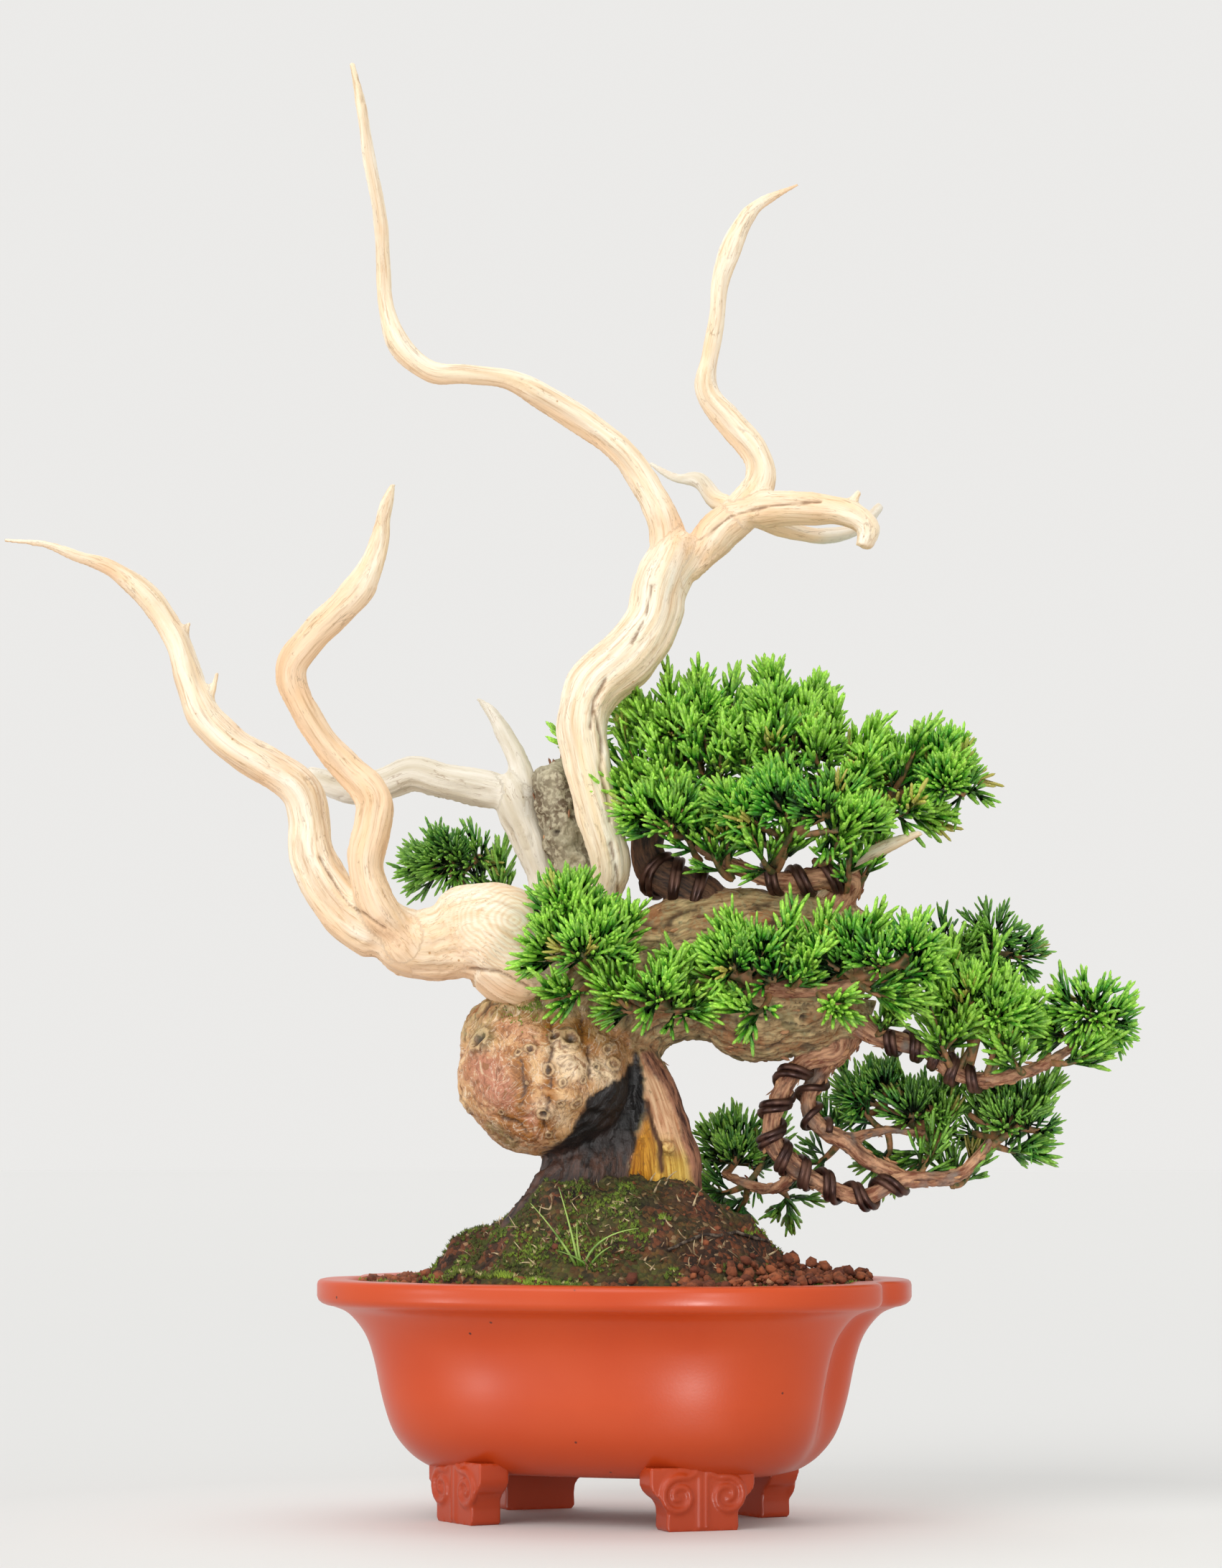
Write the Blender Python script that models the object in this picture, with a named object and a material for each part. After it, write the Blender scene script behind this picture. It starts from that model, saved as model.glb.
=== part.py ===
"""Chinese juniper bonsai standing in its clay pot: +Z up, the pot's long side along X.

Lengths are in millimetres up to the helper that writes a mesh, which turns them to metres.
The tree's wood was measured from the front, so its routes are lists of
(x to the right, height, depth behind the pot's centre, diameter) as seen from there.
"""
import math
import random

import bmesh
import bpy
import numpy as np
from mathutils import Matrix, Vector, noise
from mathutils.bvhtree import BVHTree

# Driving sizes
MM = 0.001
GAP = 0.3
VIEW_TURN = math.radians(20.0)
EYE_DISTANCE = 1300.0
EYE_HEIGHT = 110.0

POT_HALF_LENGTH = 82.0
POT_HALF_WIDTH = 62.0
POT_HEIGHT = 66.0
POT_SQUARENESS = 2.6
NOTCH_DEPTH = 4.5
NOTCH_WIDTH = 7.5
POT_SIDES = 36
FLOOR_TOP = 19.0
DRAIN_RADIUS = 6.5
DRAIN_PLACE = 28.0
DRAIN_BOTTOM = 5.0
DRAIN_TOP = 30.0

WIRE_RADIUS = 1.0
SHOOT_LENGTH = 11.0
SHOOT_RADIUS = 1.0
POINT = 0.05
TIP_LENGTH = 7.5
TWIG_RADIUS = 1.0
TWIST = math.radians(35.0)
BAND_LENGTH = 2.2
MIN_BANDS = 2
MAX_BANDS = 5
SHOOT_TRIES = ((1.0, 0.08), (1.0, 0.2), (0.85, 0.25), (0.7, 0.25), (0.5, 0.15))
OWN_SPACE = 0.15
STEM_LENGTH = 3.0
NEAREST_FACES = 12
CROSSING_ROUNDS = 4
FIRST_OPENING = 66.0
OPENING_STEP = 8.0

for leftover in list(bpy.data.objects):
    bpy.data.objects.remove(leftover, do_unlink=True)


# Plain helpers

def material(name, colour, roughness):
    """An opaque finish from an sRGB colour given as three values from 0 to 255."""
    linear = [((value / 255.0 + 0.055) / 1.055) ** 2.4 for value in colour]
    finish = bpy.data.materials.new(name)
    finish.use_nodes = True
    shader = finish.node_tree.nodes["Principled BSDF"]
    shader.inputs["Base Color"].default_value = (*linear, 1.0)
    shader.inputs["Roughness"].default_value = roughness
    shader.inputs["Metallic"].default_value = 0.0
    finish.diffuse_color = (*linear, 1.0)
    return finish


def place(name, mesh, finish=None):
    """Link one object with its own mesh and finish."""
    piece = bpy.data.objects.new(name, mesh)
    bpy.context.scene.collection.objects.link(piece)
    if finish is not None:
        mesh.materials.clear()
        mesh.materials.append(finish)
    return piece


def place_bmesh(name, shape):
    """Turn a bmesh in millimetres into an object in metres."""
    bmesh.ops.scale(shape, vec=(MM, MM, MM), verts=shape.verts)
    bmesh.ops.recalc_face_normals(shape, faces=shape.faces)
    mesh = bpy.data.meshes.new(name)
    shape.to_mesh(mesh)
    shape.free()
    return place(name, mesh)


def evaluated_mesh(piece):
    """The mesh of an object with its modifiers or its bevel applied."""
    graph = bpy.context.evaluated_depsgraph_get()
    return bpy.data.meshes.new_from_object(piece.evaluated_get(graph))


def combine(base, others, operation):
    """Join others to base, or cut them from it; others are used up."""
    group = bpy.data.collections.new("operands")
    bpy.context.scene.collection.children.link(group)
    for other in others:
        group.objects.link(other)
    change = base.modifiers.new("combine", "BOOLEAN")
    change.operation = operation
    change.operand_type = "COLLECTION"
    change.collection = group
    change.solver = "MANIFOLD"
    mesh = evaluated_mesh(base)
    base.modifiers.clear()
    base.data = mesh
    for other in others:
        bpy.data.objects.remove(other, do_unlink=True)
    bpy.data.collections.remove(group)
    return base


def copy_of(piece):
    """A separate object with a copy of the piece's mesh."""
    return place(piece.name + "_copy", piece.data.copy())


def keep_largest_body(piece):
    """Drop the loose scraps that a cut leaves."""
    shape = bmesh.new()
    shape.from_mesh(piece.data)
    unseen = set(shape.verts)
    bodies = []
    while unseen:
        body = [unseen.pop()]
        for vertex in body:
            for edge in vertex.link_edges:
                neighbour = edge.other_vert(vertex)
                if neighbour in unseen:
                    unseen.remove(neighbour)
                    body.append(neighbour)
        bodies.append(body)
    bodies.sort(key=len)
    for body in bodies[:-1]:
        bmesh.ops.delete(shape, geom=body, context="VERTS")
    shape.to_mesh(piece.data)
    shape.free()


def finish_piece(piece, name, finish, sharp_angle=50.0):
    """Name a finished piece, give it its material and smooth its round faces."""
    piece.name = name
    piece.data.name = name
    piece.data.materials.clear()
    piece.data.materials.append(finish)
    piece.data.shade_smooth()
    piece.data.set_sharp_from_angle(angle=math.radians(sharp_angle))


# Routes and branches

def seen(x, height, depth):
    """The place, in millimetres, of a point given as it is seen from the front."""
    spread = 1.0 + depth / EYE_DISTANCE
    across = x * spread
    level = EYE_HEIGHT + (height - EYE_HEIGHT) * spread
    return Vector((across * math.cos(VIEW_TURN) - depth * math.sin(VIEW_TURN),
                   across * math.sin(VIEW_TURN) + depth * math.cos(VIEW_TURN),
                   level))


def smooth_route(route, steps):
    """A smooth run of (place, radius) through a route's own points."""
    places = [seen(x, height, depth) for x, height, depth, _ in route]
    radii = [diameter * 0.5 * (1.0 + depth / EYE_DISTANCE) for _, _, depth, diameter in route]
    last = len(route) - 1
    run = []
    for index in range(last):
        before, here = places[max(index - 1, 0)], places[index]
        after, beyond = places[index + 1], places[min(index + 2, last)]
        for step in range(steps):
            t = step / steps
            bend = (2.0 * here + (after - before) * t
                    + (2.0 * before - 5.0 * here + 4.0 * after - beyond) * t * t
                    + (3.0 * here - before - 3.0 * after + beyond) * t * t * t) * 0.5
            run.append((bend, radii[index] + (radii[index + 1] - radii[index]) * t))
    run.append((places[last], radii[last]))
    return run


def tube(run, sides, twist=0.0, grow=0.0):
    """A closed branch with an even number of sides along a run of (place, radius)."""
    curve = bpy.data.curves.new("branch", "CURVE")
    curve.dimensions = "3D"
    curve.bevel_depth = MM
    curve.bevel_resolution = (sides - 4) // 2
    curve.use_fill_caps = True
    spline = curve.splines.new("POLY")
    spline.points.add(len(run) - 1)
    for index, (point, radius) in enumerate(run):
        spline.points[index].co = (*(point * MM), 1.0)
        spline.points[index].radius = radius + grow
        spline.points[index].tilt = twist * index
    guide = place("guide", curve)
    mesh = evaluated_mesh(guide)
    bpy.data.objects.remove(guide, do_unlink=True)
    shape = bmesh.new()
    shape.from_mesh(mesh)
    bmesh.ops.remove_doubles(shape, verts=shape.verts, dist=1e-6)
    bmesh.ops.recalc_face_normals(shape, faces=shape.faces)
    shape.to_mesh(mesh)
    shape.free()
    return place("tube", mesh)


def joined_routes(routes, grow):
    """Fuse branches, each given as (route, sides, steps), with their surface moved out by grow."""
    pieces = [tube(smooth_route(route, steps), sides, grow=grow) for route, sides, steps in routes]
    if len(pieces) == 1:
        return pieces[0]
    return combine(pieces[0], pieces[1:], "UNION")


# Pot

POT_OUTSIDE = [
    (13.3, 34.0), (14.4, 30.0), (18.0, 25.0), (24.0, 20.6), (33.0, 17.7), (44.0, 15.4),
    (51.0, 13.0), (56.5, 8.7), (59.2, 2.6), (61.0, 0.4), (POT_HEIGHT, 0.4),
]
POT_INSIDE = [
    (POT_HEIGHT, 9.0), (60.0, 13.0), (52.0, 17.5), (40.0, 21.0), (30.0, 24.3), (22.0, 31.0),
    (FLOOR_TOP, 39.0),
]


def pot_outline(inset, notch):
    """The lobed oval of the pot at one level, as (x, y) points."""
    power = 2.0 / POT_SQUARENESS
    outline = []
    for index in range(POT_SIDES):
        turn = 2.0 * math.pi * index / POT_SIDES
        angle = turn - 0.6 * math.sin(2.0 * turn) / 2.0
        across, along = math.cos(angle), math.sin(angle)
        x = (POT_HALF_LENGTH - inset) * math.copysign(abs(across) ** power, across)
        y = (POT_HALF_WIDTH - inset) * math.copysign(abs(along) ** power, along)
        x -= math.copysign(notch * math.exp(-(y / NOTCH_WIDTH) ** 2), x)
        outline.append((x, y))
    return outline


def notch_at(height):
    """The end notch is deep at the rim and fades out towards the foot of the bowl."""
    return NOTCH_DEPTH * min(1.0, max(0.15, (height - 14.0) / 22.0))


def bowl(levels):
    """A closed body whose rings follow the pot's outline at (height, inset) levels."""
    shape = bmesh.new()
    ring = bmesh.ops.create_circle(shape, segments=POT_SIDES, radius=1.0, cap_ends=True)["verts"]
    edges = [edge for edge in shape.edges]
    for number, (height, inset) in enumerate(levels):
        if number:
            made = bmesh.ops.extrude_edge_only(shape, edges=edges)["geom"]
            ring = [item for item in made if isinstance(item, bmesh.types.BMVert)]
            edges = [item for item in made if isinstance(item, bmesh.types.BMEdge)
                     and all(vertex in ring for vertex in item.verts)]
        for vertex, (x, y) in zip(ring, pot_outline(inset, notch_at(height))):
            vertex.co = (x, y, height)
    bmesh.ops.contextual_create(shape, geom=edges)
    return shape


FOOT_PROFILE = [(15.0, 17.0), (15.0, 11.5), (13.2, 9.0), (11.0, 8.2), (10.2, 4.5), (10.4, 0.0)]
FOOT_DEPTH = 9.0
FOOT_PLACE = (36.0, 29.0)
FOOT_FACING = math.radians(50.0)
VOLUTE_CENTRE = (6.6, 9.6)


def foot_frame(side_x, side_y):
    """Turns a foot's own axes, u across, w outwards and z up, into the pot's."""
    outwards = Vector((side_x * math.cos(FOOT_FACING), side_y * math.sin(FOOT_FACING), 0.0))
    across = Vector((-outwards.y, outwards.x, 0.0))
    centre = Vector((side_x * FOOT_PLACE[0], side_y * FOOT_PLACE[1], 0.0))
    return Matrix((( across.x, outwards.x, 0.0, centre.x),
                   ( across.y, outwards.y, 0.0, centre.y),
                   (0.0, 0.0, 1.0, 0.0),
                   (0.0, 0.0, 0.0, 1.0)))


def foot(frame):
    """The block of one foot, cut to its stepped outline."""
    shape = bmesh.new()
    outline = FOOT_PROFILE + [(-u, z) for u, z in reversed(FOOT_PROFILE)]
    corners = [shape.verts.new((u, 0.0, z)) for u, z in outline]
    front = shape.faces.new(corners)
    made = bmesh.ops.extrude_face_region(shape, geom=[front])["geom"]
    back = [item for item in made if isinstance(item, bmesh.types.BMVert)]
    bmesh.ops.translate(shape, vec=(0.0, -FOOT_DEPTH, 0.0), verts=back)
    bmesh.ops.transform(shape, matrix=frame, verts=shape.verts)
    return place_bmesh("foot", shape)


def volute(frame, side):
    """One spiral band in low relief on a foot's outer face."""
    run = []
    for index in range(8):
        share = index / 7.0
        angle = math.radians(75.0 - 480.0 * share)
        reach = 4.6 * (1.0 - share) + 0.9
        u = VOLUTE_CENTRE[0] + reach * math.cos(angle)
        z = VOLUTE_CENTRE[1] + reach * math.sin(angle)
        run.append((frame @ Vector((side * u, 0.1, z)), 0.75))
    return tube(run, 4)


def ridge(frame):
    """The upright rib between a foot's two spirals."""
    run = [(frame @ Vector((0.0, 0.1, z)), 0.9) for z in (1.5, 8.0, 15.0)]
    return tube(run, 4)


def drain(side):
    """An upright cylinder that cuts one of the two drain holes through the floor."""
    shape = bmesh.new()
    middle = Matrix.Translation((side * DRAIN_PLACE, 0.0, (DRAIN_BOTTOM + DRAIN_TOP) * 0.5))
    bmesh.ops.create_cone(shape, cap_ends=True, segments=12, radius1=DRAIN_RADIUS, radius2=DRAIN_RADIUS,
                          depth=DRAIN_TOP - DRAIN_BOTTOM, matrix=middle)
    return place_bmesh("drain", shape)


clay = material("burnt_orange_clay", (203, 84, 48), 0.45)
pot = place_bmesh("pot", bowl(POT_OUTSIDE + POT_INSIDE))
relief = []
for side_x in (-1.0, 1.0):
    for side_y in (-1.0, 1.0):
        frame = foot_frame(side_x, side_y)
        relief.append(foot(frame))
        relief.append(volute(frame, 1.0))
        relief.append(volute(frame, -1.0))
        relief.append(ridge(frame))
combine(pot, relief, "UNION")
combine(pot, [drain(side) for side in (-1.0, 1.0)], "DIFFERENCE")
finish_piece(pot, "pot", clay, 35.0)


# Drain screens, one over each hole in the floor

SCREEN_HALF = 10.0
SCREEN_THICK = 1.2
MESH_HOLE = 5.6
MESH_PITCH = 8.0


def block(x, y, z, half_x, half_y, half_z):
    """A plain block round a centre."""
    shape = bmesh.new()
    bmesh.ops.create_cube(shape, size=2.0)
    bmesh.ops.scale(shape, vec=(half_x, half_y, half_z), verts=shape.verts)
    bmesh.ops.translate(shape, vec=(x, y, z), verts=shape.verts)
    return place_bmesh("block", shape)


screen_level = FLOOR_TOP + GAP + SCREEN_THICK * 0.5
screen_finish = material("black_mesh_plastic", (24, 24, 26), 0.6)
for number, side in enumerate((-1.0, 1.0), start=1):
    screen = block(side * DRAIN_PLACE, 0.0, screen_level, SCREEN_HALF, SCREEN_HALF, SCREEN_THICK * 0.5)
    holes = []
    for column in (-0.5, 0.5):
        for row in (-0.5, 0.5):
            holes.append(block(side * DRAIN_PLACE + column * MESH_PITCH, row * MESH_PITCH, screen_level,
                               MESH_HOLE * 0.5, MESH_HOLE * 0.5, SCREEN_THICK))
    combine(screen, holes, "DIFFERENCE")
    finish_piece(screen, f"drain_screen_{number}", screen_finish, 30.0)


# Live wood: burl, trunk and the branches that carry the foliage

TRUNK = [
    (0, 84, 3, 22), (1, 100, 3, 22), (1, 116, 4, 20), (3, 128, 5, 19), (9, 140, 4, 24),
    (24, 150, 2, 35), (40, 151, 0, 42), (54, 150, 0, 37), (65, 150, 0, 23),
]
BLACK_FOOT = [(2, 130, 0, 14), (-1, 116, 1, 18), (-5, 105, 2, 21), (-8, 96, 2, 26), (-9, 82, 2, 30)]
ORANGE_FOOT = [(5, 128, -1, 10), (10, 116, -2, 12), (13, 105, -2, 14), (15, 96, -2, 16), (16, 82, -2, 18)]
SHOULDER = [(-20, 126, -3, 38), (-9, 142, 0, 34), (4, 150, 2, 30), (16, 152, 3, 26)]
RIDGE = [(2, 160, 2, 9), (15, 164, -1, 13), (32, 167, -2, 14), (50, 166, -4, 14), (66, 164, -2, 12),
         (72, 165, -2, 6)]
STUB = [(2, 158, 14, 14), (-6, 170, 15, 13), (-11, 182, 16, 12), (-14, 194, 16, 12), (-16, 206, 16, 10)]
ROOT = [(-8, 94, -4, 12), (-21, 86, -10, 8), (-32, 76, -14, 5)]
BURL_CENTRE = (-19, 122, -4)
BURL_HALF = (23.5, 21.5, 22.0)

LOOP_BRANCH = [(16, 164, -1, 11), (26, 171, -1, 11), (23, 178, 0, 11), (14, 183, 2, 10),
               (11, 190, 5, 8), (16, 197, 7, 7), (28, 201, 8, 6), (44, 203, 8, 5), (60, 203, 6, 4.5),
               (74, 200, 4, 4)]
UNDER_BRANCH = [(58, 164, -4, 9), (64, 172, -4, 8), (66, 180, -6, 7), (56, 182, -8, 6),
                (45, 179, -8, 5.5), (33, 177, -7, 5), (24, 182, -4, 4), (19, 189, -8, 3)]
LEFT_STRAND = [(60, 136, -1, 12), (62, 129, -2, 7), (52, 125, -3, 5.5), (45, 114, -3, 5.5),
               (44, 104, -1, 5.5), (50, 97, 0, 5.5), (58, 92, 1, 5), (69, 87, 2, 5), (80, 91, 3, 5),
               (94, 92, 4, 4.5), (100, 95, 5, 4), (105, 103, 6, 3)]
RIGHT_STRAND = [(66, 142, 2, 14), (66, 134, 2, 8), (58, 124, 4, 5.5), (54, 115, 4, 5),
                (57, 108, 4, 5), (64, 104, 5, 5), (70, 99, 5, 5), (80, 92, 4, 4.5)]
CROSS_TWIG = [(63, 104, 5, 4), (76, 107, 9, 3), (90, 105, 11, 2.5)]
LOW_TWIG = [(51, 96, 1, 4), (45, 91, 6, 3.5), (37, 92, 14, 3.5), (30, 95, 20, 3)]
RIGHT_BRANCH = [(62, 142, -4, 11), (72, 134, -4, 6.5), (82, 131, -4, 5.5), (89, 128, -4, 5),
                (95, 123, -3, 5), (103, 121, -3, 4.5), (114, 123, -3, 4), (121, 126, -2, 3.5),
                (128, 130, -1, 3)]
BACK_RIGHT_BRANCH = [(60, 150, 6, 10), (76, 152, 16, 6), (92, 154, 22, 4)]
BACK_LEFT_BRANCH = [(6, 150, 12, 9), (-14, 157, 28, 6.5), (-30, 167, 42, 5), (-42, 173, 45, 3.5)]
FRONT_BRANCH = [(0, 148, -8, 8), (-5, 150, -21, 5), (-14, 157, -27, 3.5)]
FRONT_LOW_BRANCH = [(8, 142, -6, 7), (6, 143, -18, 4.5), (8, 141, -26, 3)]
MIDDLE_BRANCH = [(40, 150, -14, 9), (44, 147, -25, 6), (56, 146, -30, 4), (68, 148, -31, 3)]

LIVE_ROUTES = [
    (TRUNK, 10, 1), (BLACK_FOOT, 8, 1), (ORANGE_FOOT, 6, 1), (SHOULDER, 10, 1), (RIDGE, 8, 1),
    (STUB, 6, 1), (ROOT, 6, 1), (LOOP_BRANCH, 6, 1), (UNDER_BRANCH, 6, 1), (LEFT_STRAND, 6, 2),
    (RIGHT_STRAND, 6, 1), (CROSS_TWIG, 4, 1), (LOW_TWIG, 4, 1), (RIGHT_BRANCH, 6, 1),
    (BACK_RIGHT_BRANCH, 6, 1), (BACK_LEFT_BRANCH, 6, 1), (FRONT_BRANCH, 4, 1),
    (FRONT_LOW_BRANCH, 4, 1), (MIDDLE_BRANCH, 4, 1),
]


def burl(grow):
    """The knobbly ball of wood at the left of the trunk, with a hollow high on its left."""
    shape = bmesh.new()
    bmesh.ops.create_icosphere(shape, subdivisions=3, radius=1.0)
    centre = seen(*BURL_CENTRE)
    hollow = Vector((-0.72, -0.45, 0.5)).normalized()
    for vertex in shape.verts:
        facing = vertex.co.normalized()
        swell = 1.0 + 0.05 * noise.noise(facing * 2.6) + 0.03 * noise.noise(facing * 6.0)
        swell -= 0.10 * math.exp(-((facing - hollow).length / 0.28) ** 2)
        reach = Vector((facing.x * BURL_HALF[0], facing.y * BURL_HALF[1], facing.z * BURL_HALF[2]))
        vertex.co = centre + reach * swell + facing * grow
    return place_bmesh("burl", shape)


def live_wood(grow):
    """Burl, trunk and live branches in one body."""
    wood = joined_routes(LIVE_ROUTES, grow)
    return combine(wood, [burl(grow)], "UNION")


bark = material("juniper_bark", (168, 128, 92), 0.75)
trunk = live_wood(0.0)
keep_largest_body(trunk)
finish_piece(trunk, "live_trunk", bark)
clearance = [live_wood(GAP)]


def cut_clear(piece, cutters):
    """Take what already stands, with its gap, out of a piece."""
    combine(piece, [copy_of(cutter) for cutter in cutters], "DIFFERENCE")
    keep_largest_body(piece)


# Deadwood, bleached and without bark

MAIN_JIN = [
    (3, 160, 1, 15), (1, 172, -4, 13), (-2, 184, -6, 12), (-5, 198, -6, 12), (-8, 211, -5, 13),
    (-9, 222, -4, 14), (-6, 232, -3, 16.5), (3, 240, -2, 17.5), (10, 249, -1, 15.5),
    (13, 258, 0, 15), (17, 268, 0, 15),
]
LEFT_LIMB = [
    (14, 262, 0, 11), (15, 275, 0, 10), (11, 286, 1, 8.3), (4, 297, 2, 7.6), (-6, 306, 2, 7.8),
    (-18, 313, 1, 7.4), (-29, 318, 0, 5.9), (-42, 319, -2, 5.6), (-52, 320, -3, 6.4),
    (-60, 327, -3, 6.6), (-64, 338, -2, 4.8), (-65, 350, 0, 4.4), (-66, 364, 1, 4.1),
    (-69, 380, 2, 3.8), (-71, 394, 2, 3.3), (-74, 408, 2, 1.6),
]
RIGHT_LIMB = [
    (19, 264, 0, 12), (27, 276, 2, 10.9), (35, 281, 3, 11.5), (40, 289, 3, 9.8), (38, 297, 4, 8.7),
    (31, 305, 5, 8.2), (26, 314, 6, 6.6), (27, 324, 7, 4.9), (29, 335, 7, 4.5), (30, 345, 7, 4.8),
    (33, 354, 8, 6.2), (37, 363, 8, 5), (42, 368, 9, 3.2), (52, 373, 10, 0.9),
]
HOOK_ARM = [(34, 279, 2, 10), (44, 281, -2, 9.8), (54, 281, -6, 8.8), (64, 280, -9, 8),
            (71, 276, -11, 6.6), (70, 270, -12, 4.6)]
HOOK_SPUR = [(65, 280, -9, 5), (69, 286, -10, 1.8)]
REAR_ARM = [(36, 279, 4, 7), (48, 274, 10, 5.2), (58, 272, 14, 4.6), (68, 274, 16, 4), (75, 282, 18, 2.8)]
GREY_SNAG = [(38, 281, 5, 7), (29, 284, 14, 5.6), (24, 290, 18, 5), (17, 291, 22, 3), (10, 295, 26, 1.3)]
APEX_ROUTES = [
    (MAIN_JIN, 8, 1), (LEFT_LIMB, 6, 1), (RIGHT_LIMB, 6, 1), (HOOK_ARM, 6, 1), (HOOK_SPUR, 4, 1),
    (REAR_ARM, 6, 1), (GREY_SNAG, 6, 1),
]

SWELL = [(-14, 152, -4, 21), (-26, 157, -6, 25), (-38, 161, -7, 24), (-50, 160, -7, 18.5),
         (-60, 162, -7, 18), (-66, 168, -7, 13)]
FAR_LEFT_LIMB = [
    (-54, 160, -7, 16), (-68, 166, -6, 15), (-77, 174, -5, 13), (-83, 184, -4, 12), (-85, 194, -4, 11),
    (-88, 203, -5, 11.2), (-97, 210, -6, 10), (-106, 217, -7, 10.2), (-114, 224, -7, 9.8),
    (-119, 233, -6, 9), (-121, 243, -5, 7.6), (-126, 252, -4, 7), (-132, 259, -4, 7.2),
    (-140, 265, -5, 4.8), (-150, 268, -7, 3.4), (-160, 271, -9, 2.3), (-171, 272, -11, 1.1),
]
SECOND_LIMB = [
    (-58, 160, -12, 14), (-66, 170, -14, 11), (-69, 181, -14, 10), (-67, 192, -13, 10.4),
    (-66, 200, -12, 10.2), (-72, 209, -11, 8.4), (-79, 218, -11, 7.6), (-85, 228, -12, 7.6),
    (-89, 237, -13, 9), (-88, 246, -14, 8.8), (-82, 254, -15, 9.6), (-74, 262, -16, 9),
    (-67, 271, -16, 6.6), (-64, 280, -15, 4.4), (-62, 288, -14, 1.6),
]
THORN = [(-121, 240, -5, 4), (-119, 249, -5, 1.2)]
LOW_THORN = [(-113, 226, -7, 4), (-111, 235, -7, 1.2)]
TWIN_ROUTES = [(SWELL, 10, 1), (FAR_LEFT_LIMB, 6, 1), (SECOND_LIMB, 6, 1), (THORN, 4, 1), (LOW_THORN, 4, 1)]

BACK_JIN = [(-12, 158, 16, 10), (-18, 168, 20, 8.6), (-20, 178, 22, 8), (-24, 190, 22, 10), (-29, 202, 22, 13)]
BACK_SPIKE = [(-28, 198, 22, 9), (-27, 211, 22, 5), (-31, 219, 22, 3.2), (-37, 227, 22, 1)]
BACK_ARM = [(-26, 200, 22, 11), (-40, 203, 22, 8.4), (-49, 207, 22, 8.6), (-56, 208, 23, 7.4),
            (-63, 206, 25, 6), (-73, 202, 26, 5), (-84, 207, 27, 2.4)]
BACK_ROUTES = [(BACK_JIN, 8, 1), (BACK_SPIKE, 6, 1), (BACK_ARM, 6, 1)]

SIDE_JIN = [(52, 168, -8, 6.5), (60, 176, -12, 5), (67, 181, -14, 4.6), (76, 186, -16, 4), (86, 190, -18, 2)]
SIDE_ROUTES = [(SIDE_JIN, 6, 1)]

cream = material("bleached_juniper_wood", (240, 218, 184), 0.7)
grey = material("grey_juniper_wood", (205, 198, 184), 0.75)
for name, routes, finish in (("apex_jin", APEX_ROUTES, cream), ("twin_jin", TWIN_ROUTES, cream),
                             ("back_jin", BACK_ROUTES, grey), ("side_jin", SIDE_ROUTES, cream)):
    jin = joined_routes(routes, 0.0)
    cut_clear(jin, clearance)
    finish_piece(jin, name, finish)
    clearance.append(joined_routes(routes, GAP))


# Soil: packed in the pot, heaped round the trunk, with coarse grains in relief

SOIL_RINGS = 8
SOIL_EDGE = POT_HEIGHT - 4.0
SOIL_INSET = 13.1
SOIL_RIM = SOIL_EDGE - 1.5
MOUND_RISE = 35.0
MOUND_HALF = (57.0, 46.0)


def soil_height(x, y):
    """The heap round the trunk, with clods and grains."""
    reach = math.hypot((x - 1.0) / MOUND_HALF[0], y / MOUND_HALF[1])
    heap = MOUND_RISE * max(0.0, 1.0 - reach ** 2.2)
    grains = 1.3 * noise.noise(Vector((x, y, 0.0)) * 0.19) + 0.7 * noise.noise(Vector((x, y, 9.0)) * 0.5)
    return SOIL_EDGE + heap + grains


def soil_body():
    """Side and underside follow the inside of the pot, one gap away."""
    below = [(height + (GAP if height == FLOOR_TOP else 0.0), inset + GAP)
             for height, inset in reversed(POT_INSIDE) if height < SOIL_RIM - 0.5]
    shape = bowl(below + [(SOIL_RIM, SOIL_INSET)])
    top = [face for face in shape.faces if all(vertex.co.z > SOIL_RIM - 0.5 for vertex in face.verts)]
    for ring in range(1, SOIL_RINGS):
        share = 1.0 - ring / SOIL_RINGS
        bmesh.ops.inset_region(shape, faces=top, thickness=0.5, use_even_offset=False)
        top = [face for face in top if face.is_valid]
        for vertex, (x, y) in zip(sorted_ring(top[0]), pot_outline(SOIL_INSET, notch_at(SOIL_EDGE) * share)):
            vertex.co = (x * share, y * share, soil_height(x * share, y * share))
    bmesh.ops.poke(shape, faces=top)
    return shape


def sorted_ring(face):
    """A ring's vertices in the order of the pot's outline, from the +X end towards +Y."""
    return sorted(face.verts, key=lambda vertex: math.atan2(vertex.co.y, vertex.co.x) % (2.0 * math.pi))


earth = material("dark_bonsai_soil", (74, 50, 36), 0.95)
soil = place_bmesh("soil", soil_body())
pockets = [block(side * DRAIN_PLACE, 0.0, screen_level, SCREEN_HALF + GAP, SCREEN_HALF + GAP,
                 SCREEN_THICK * 0.5 + GAP) for side in (-1.0, 1.0)]
combine(soil, pockets, "DIFFERENCE")
cut_clear(soil, clearance[:1])
finish_piece(soil, "soil", earth, 80.0)


# Shaping wire, wound round the live branches

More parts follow.
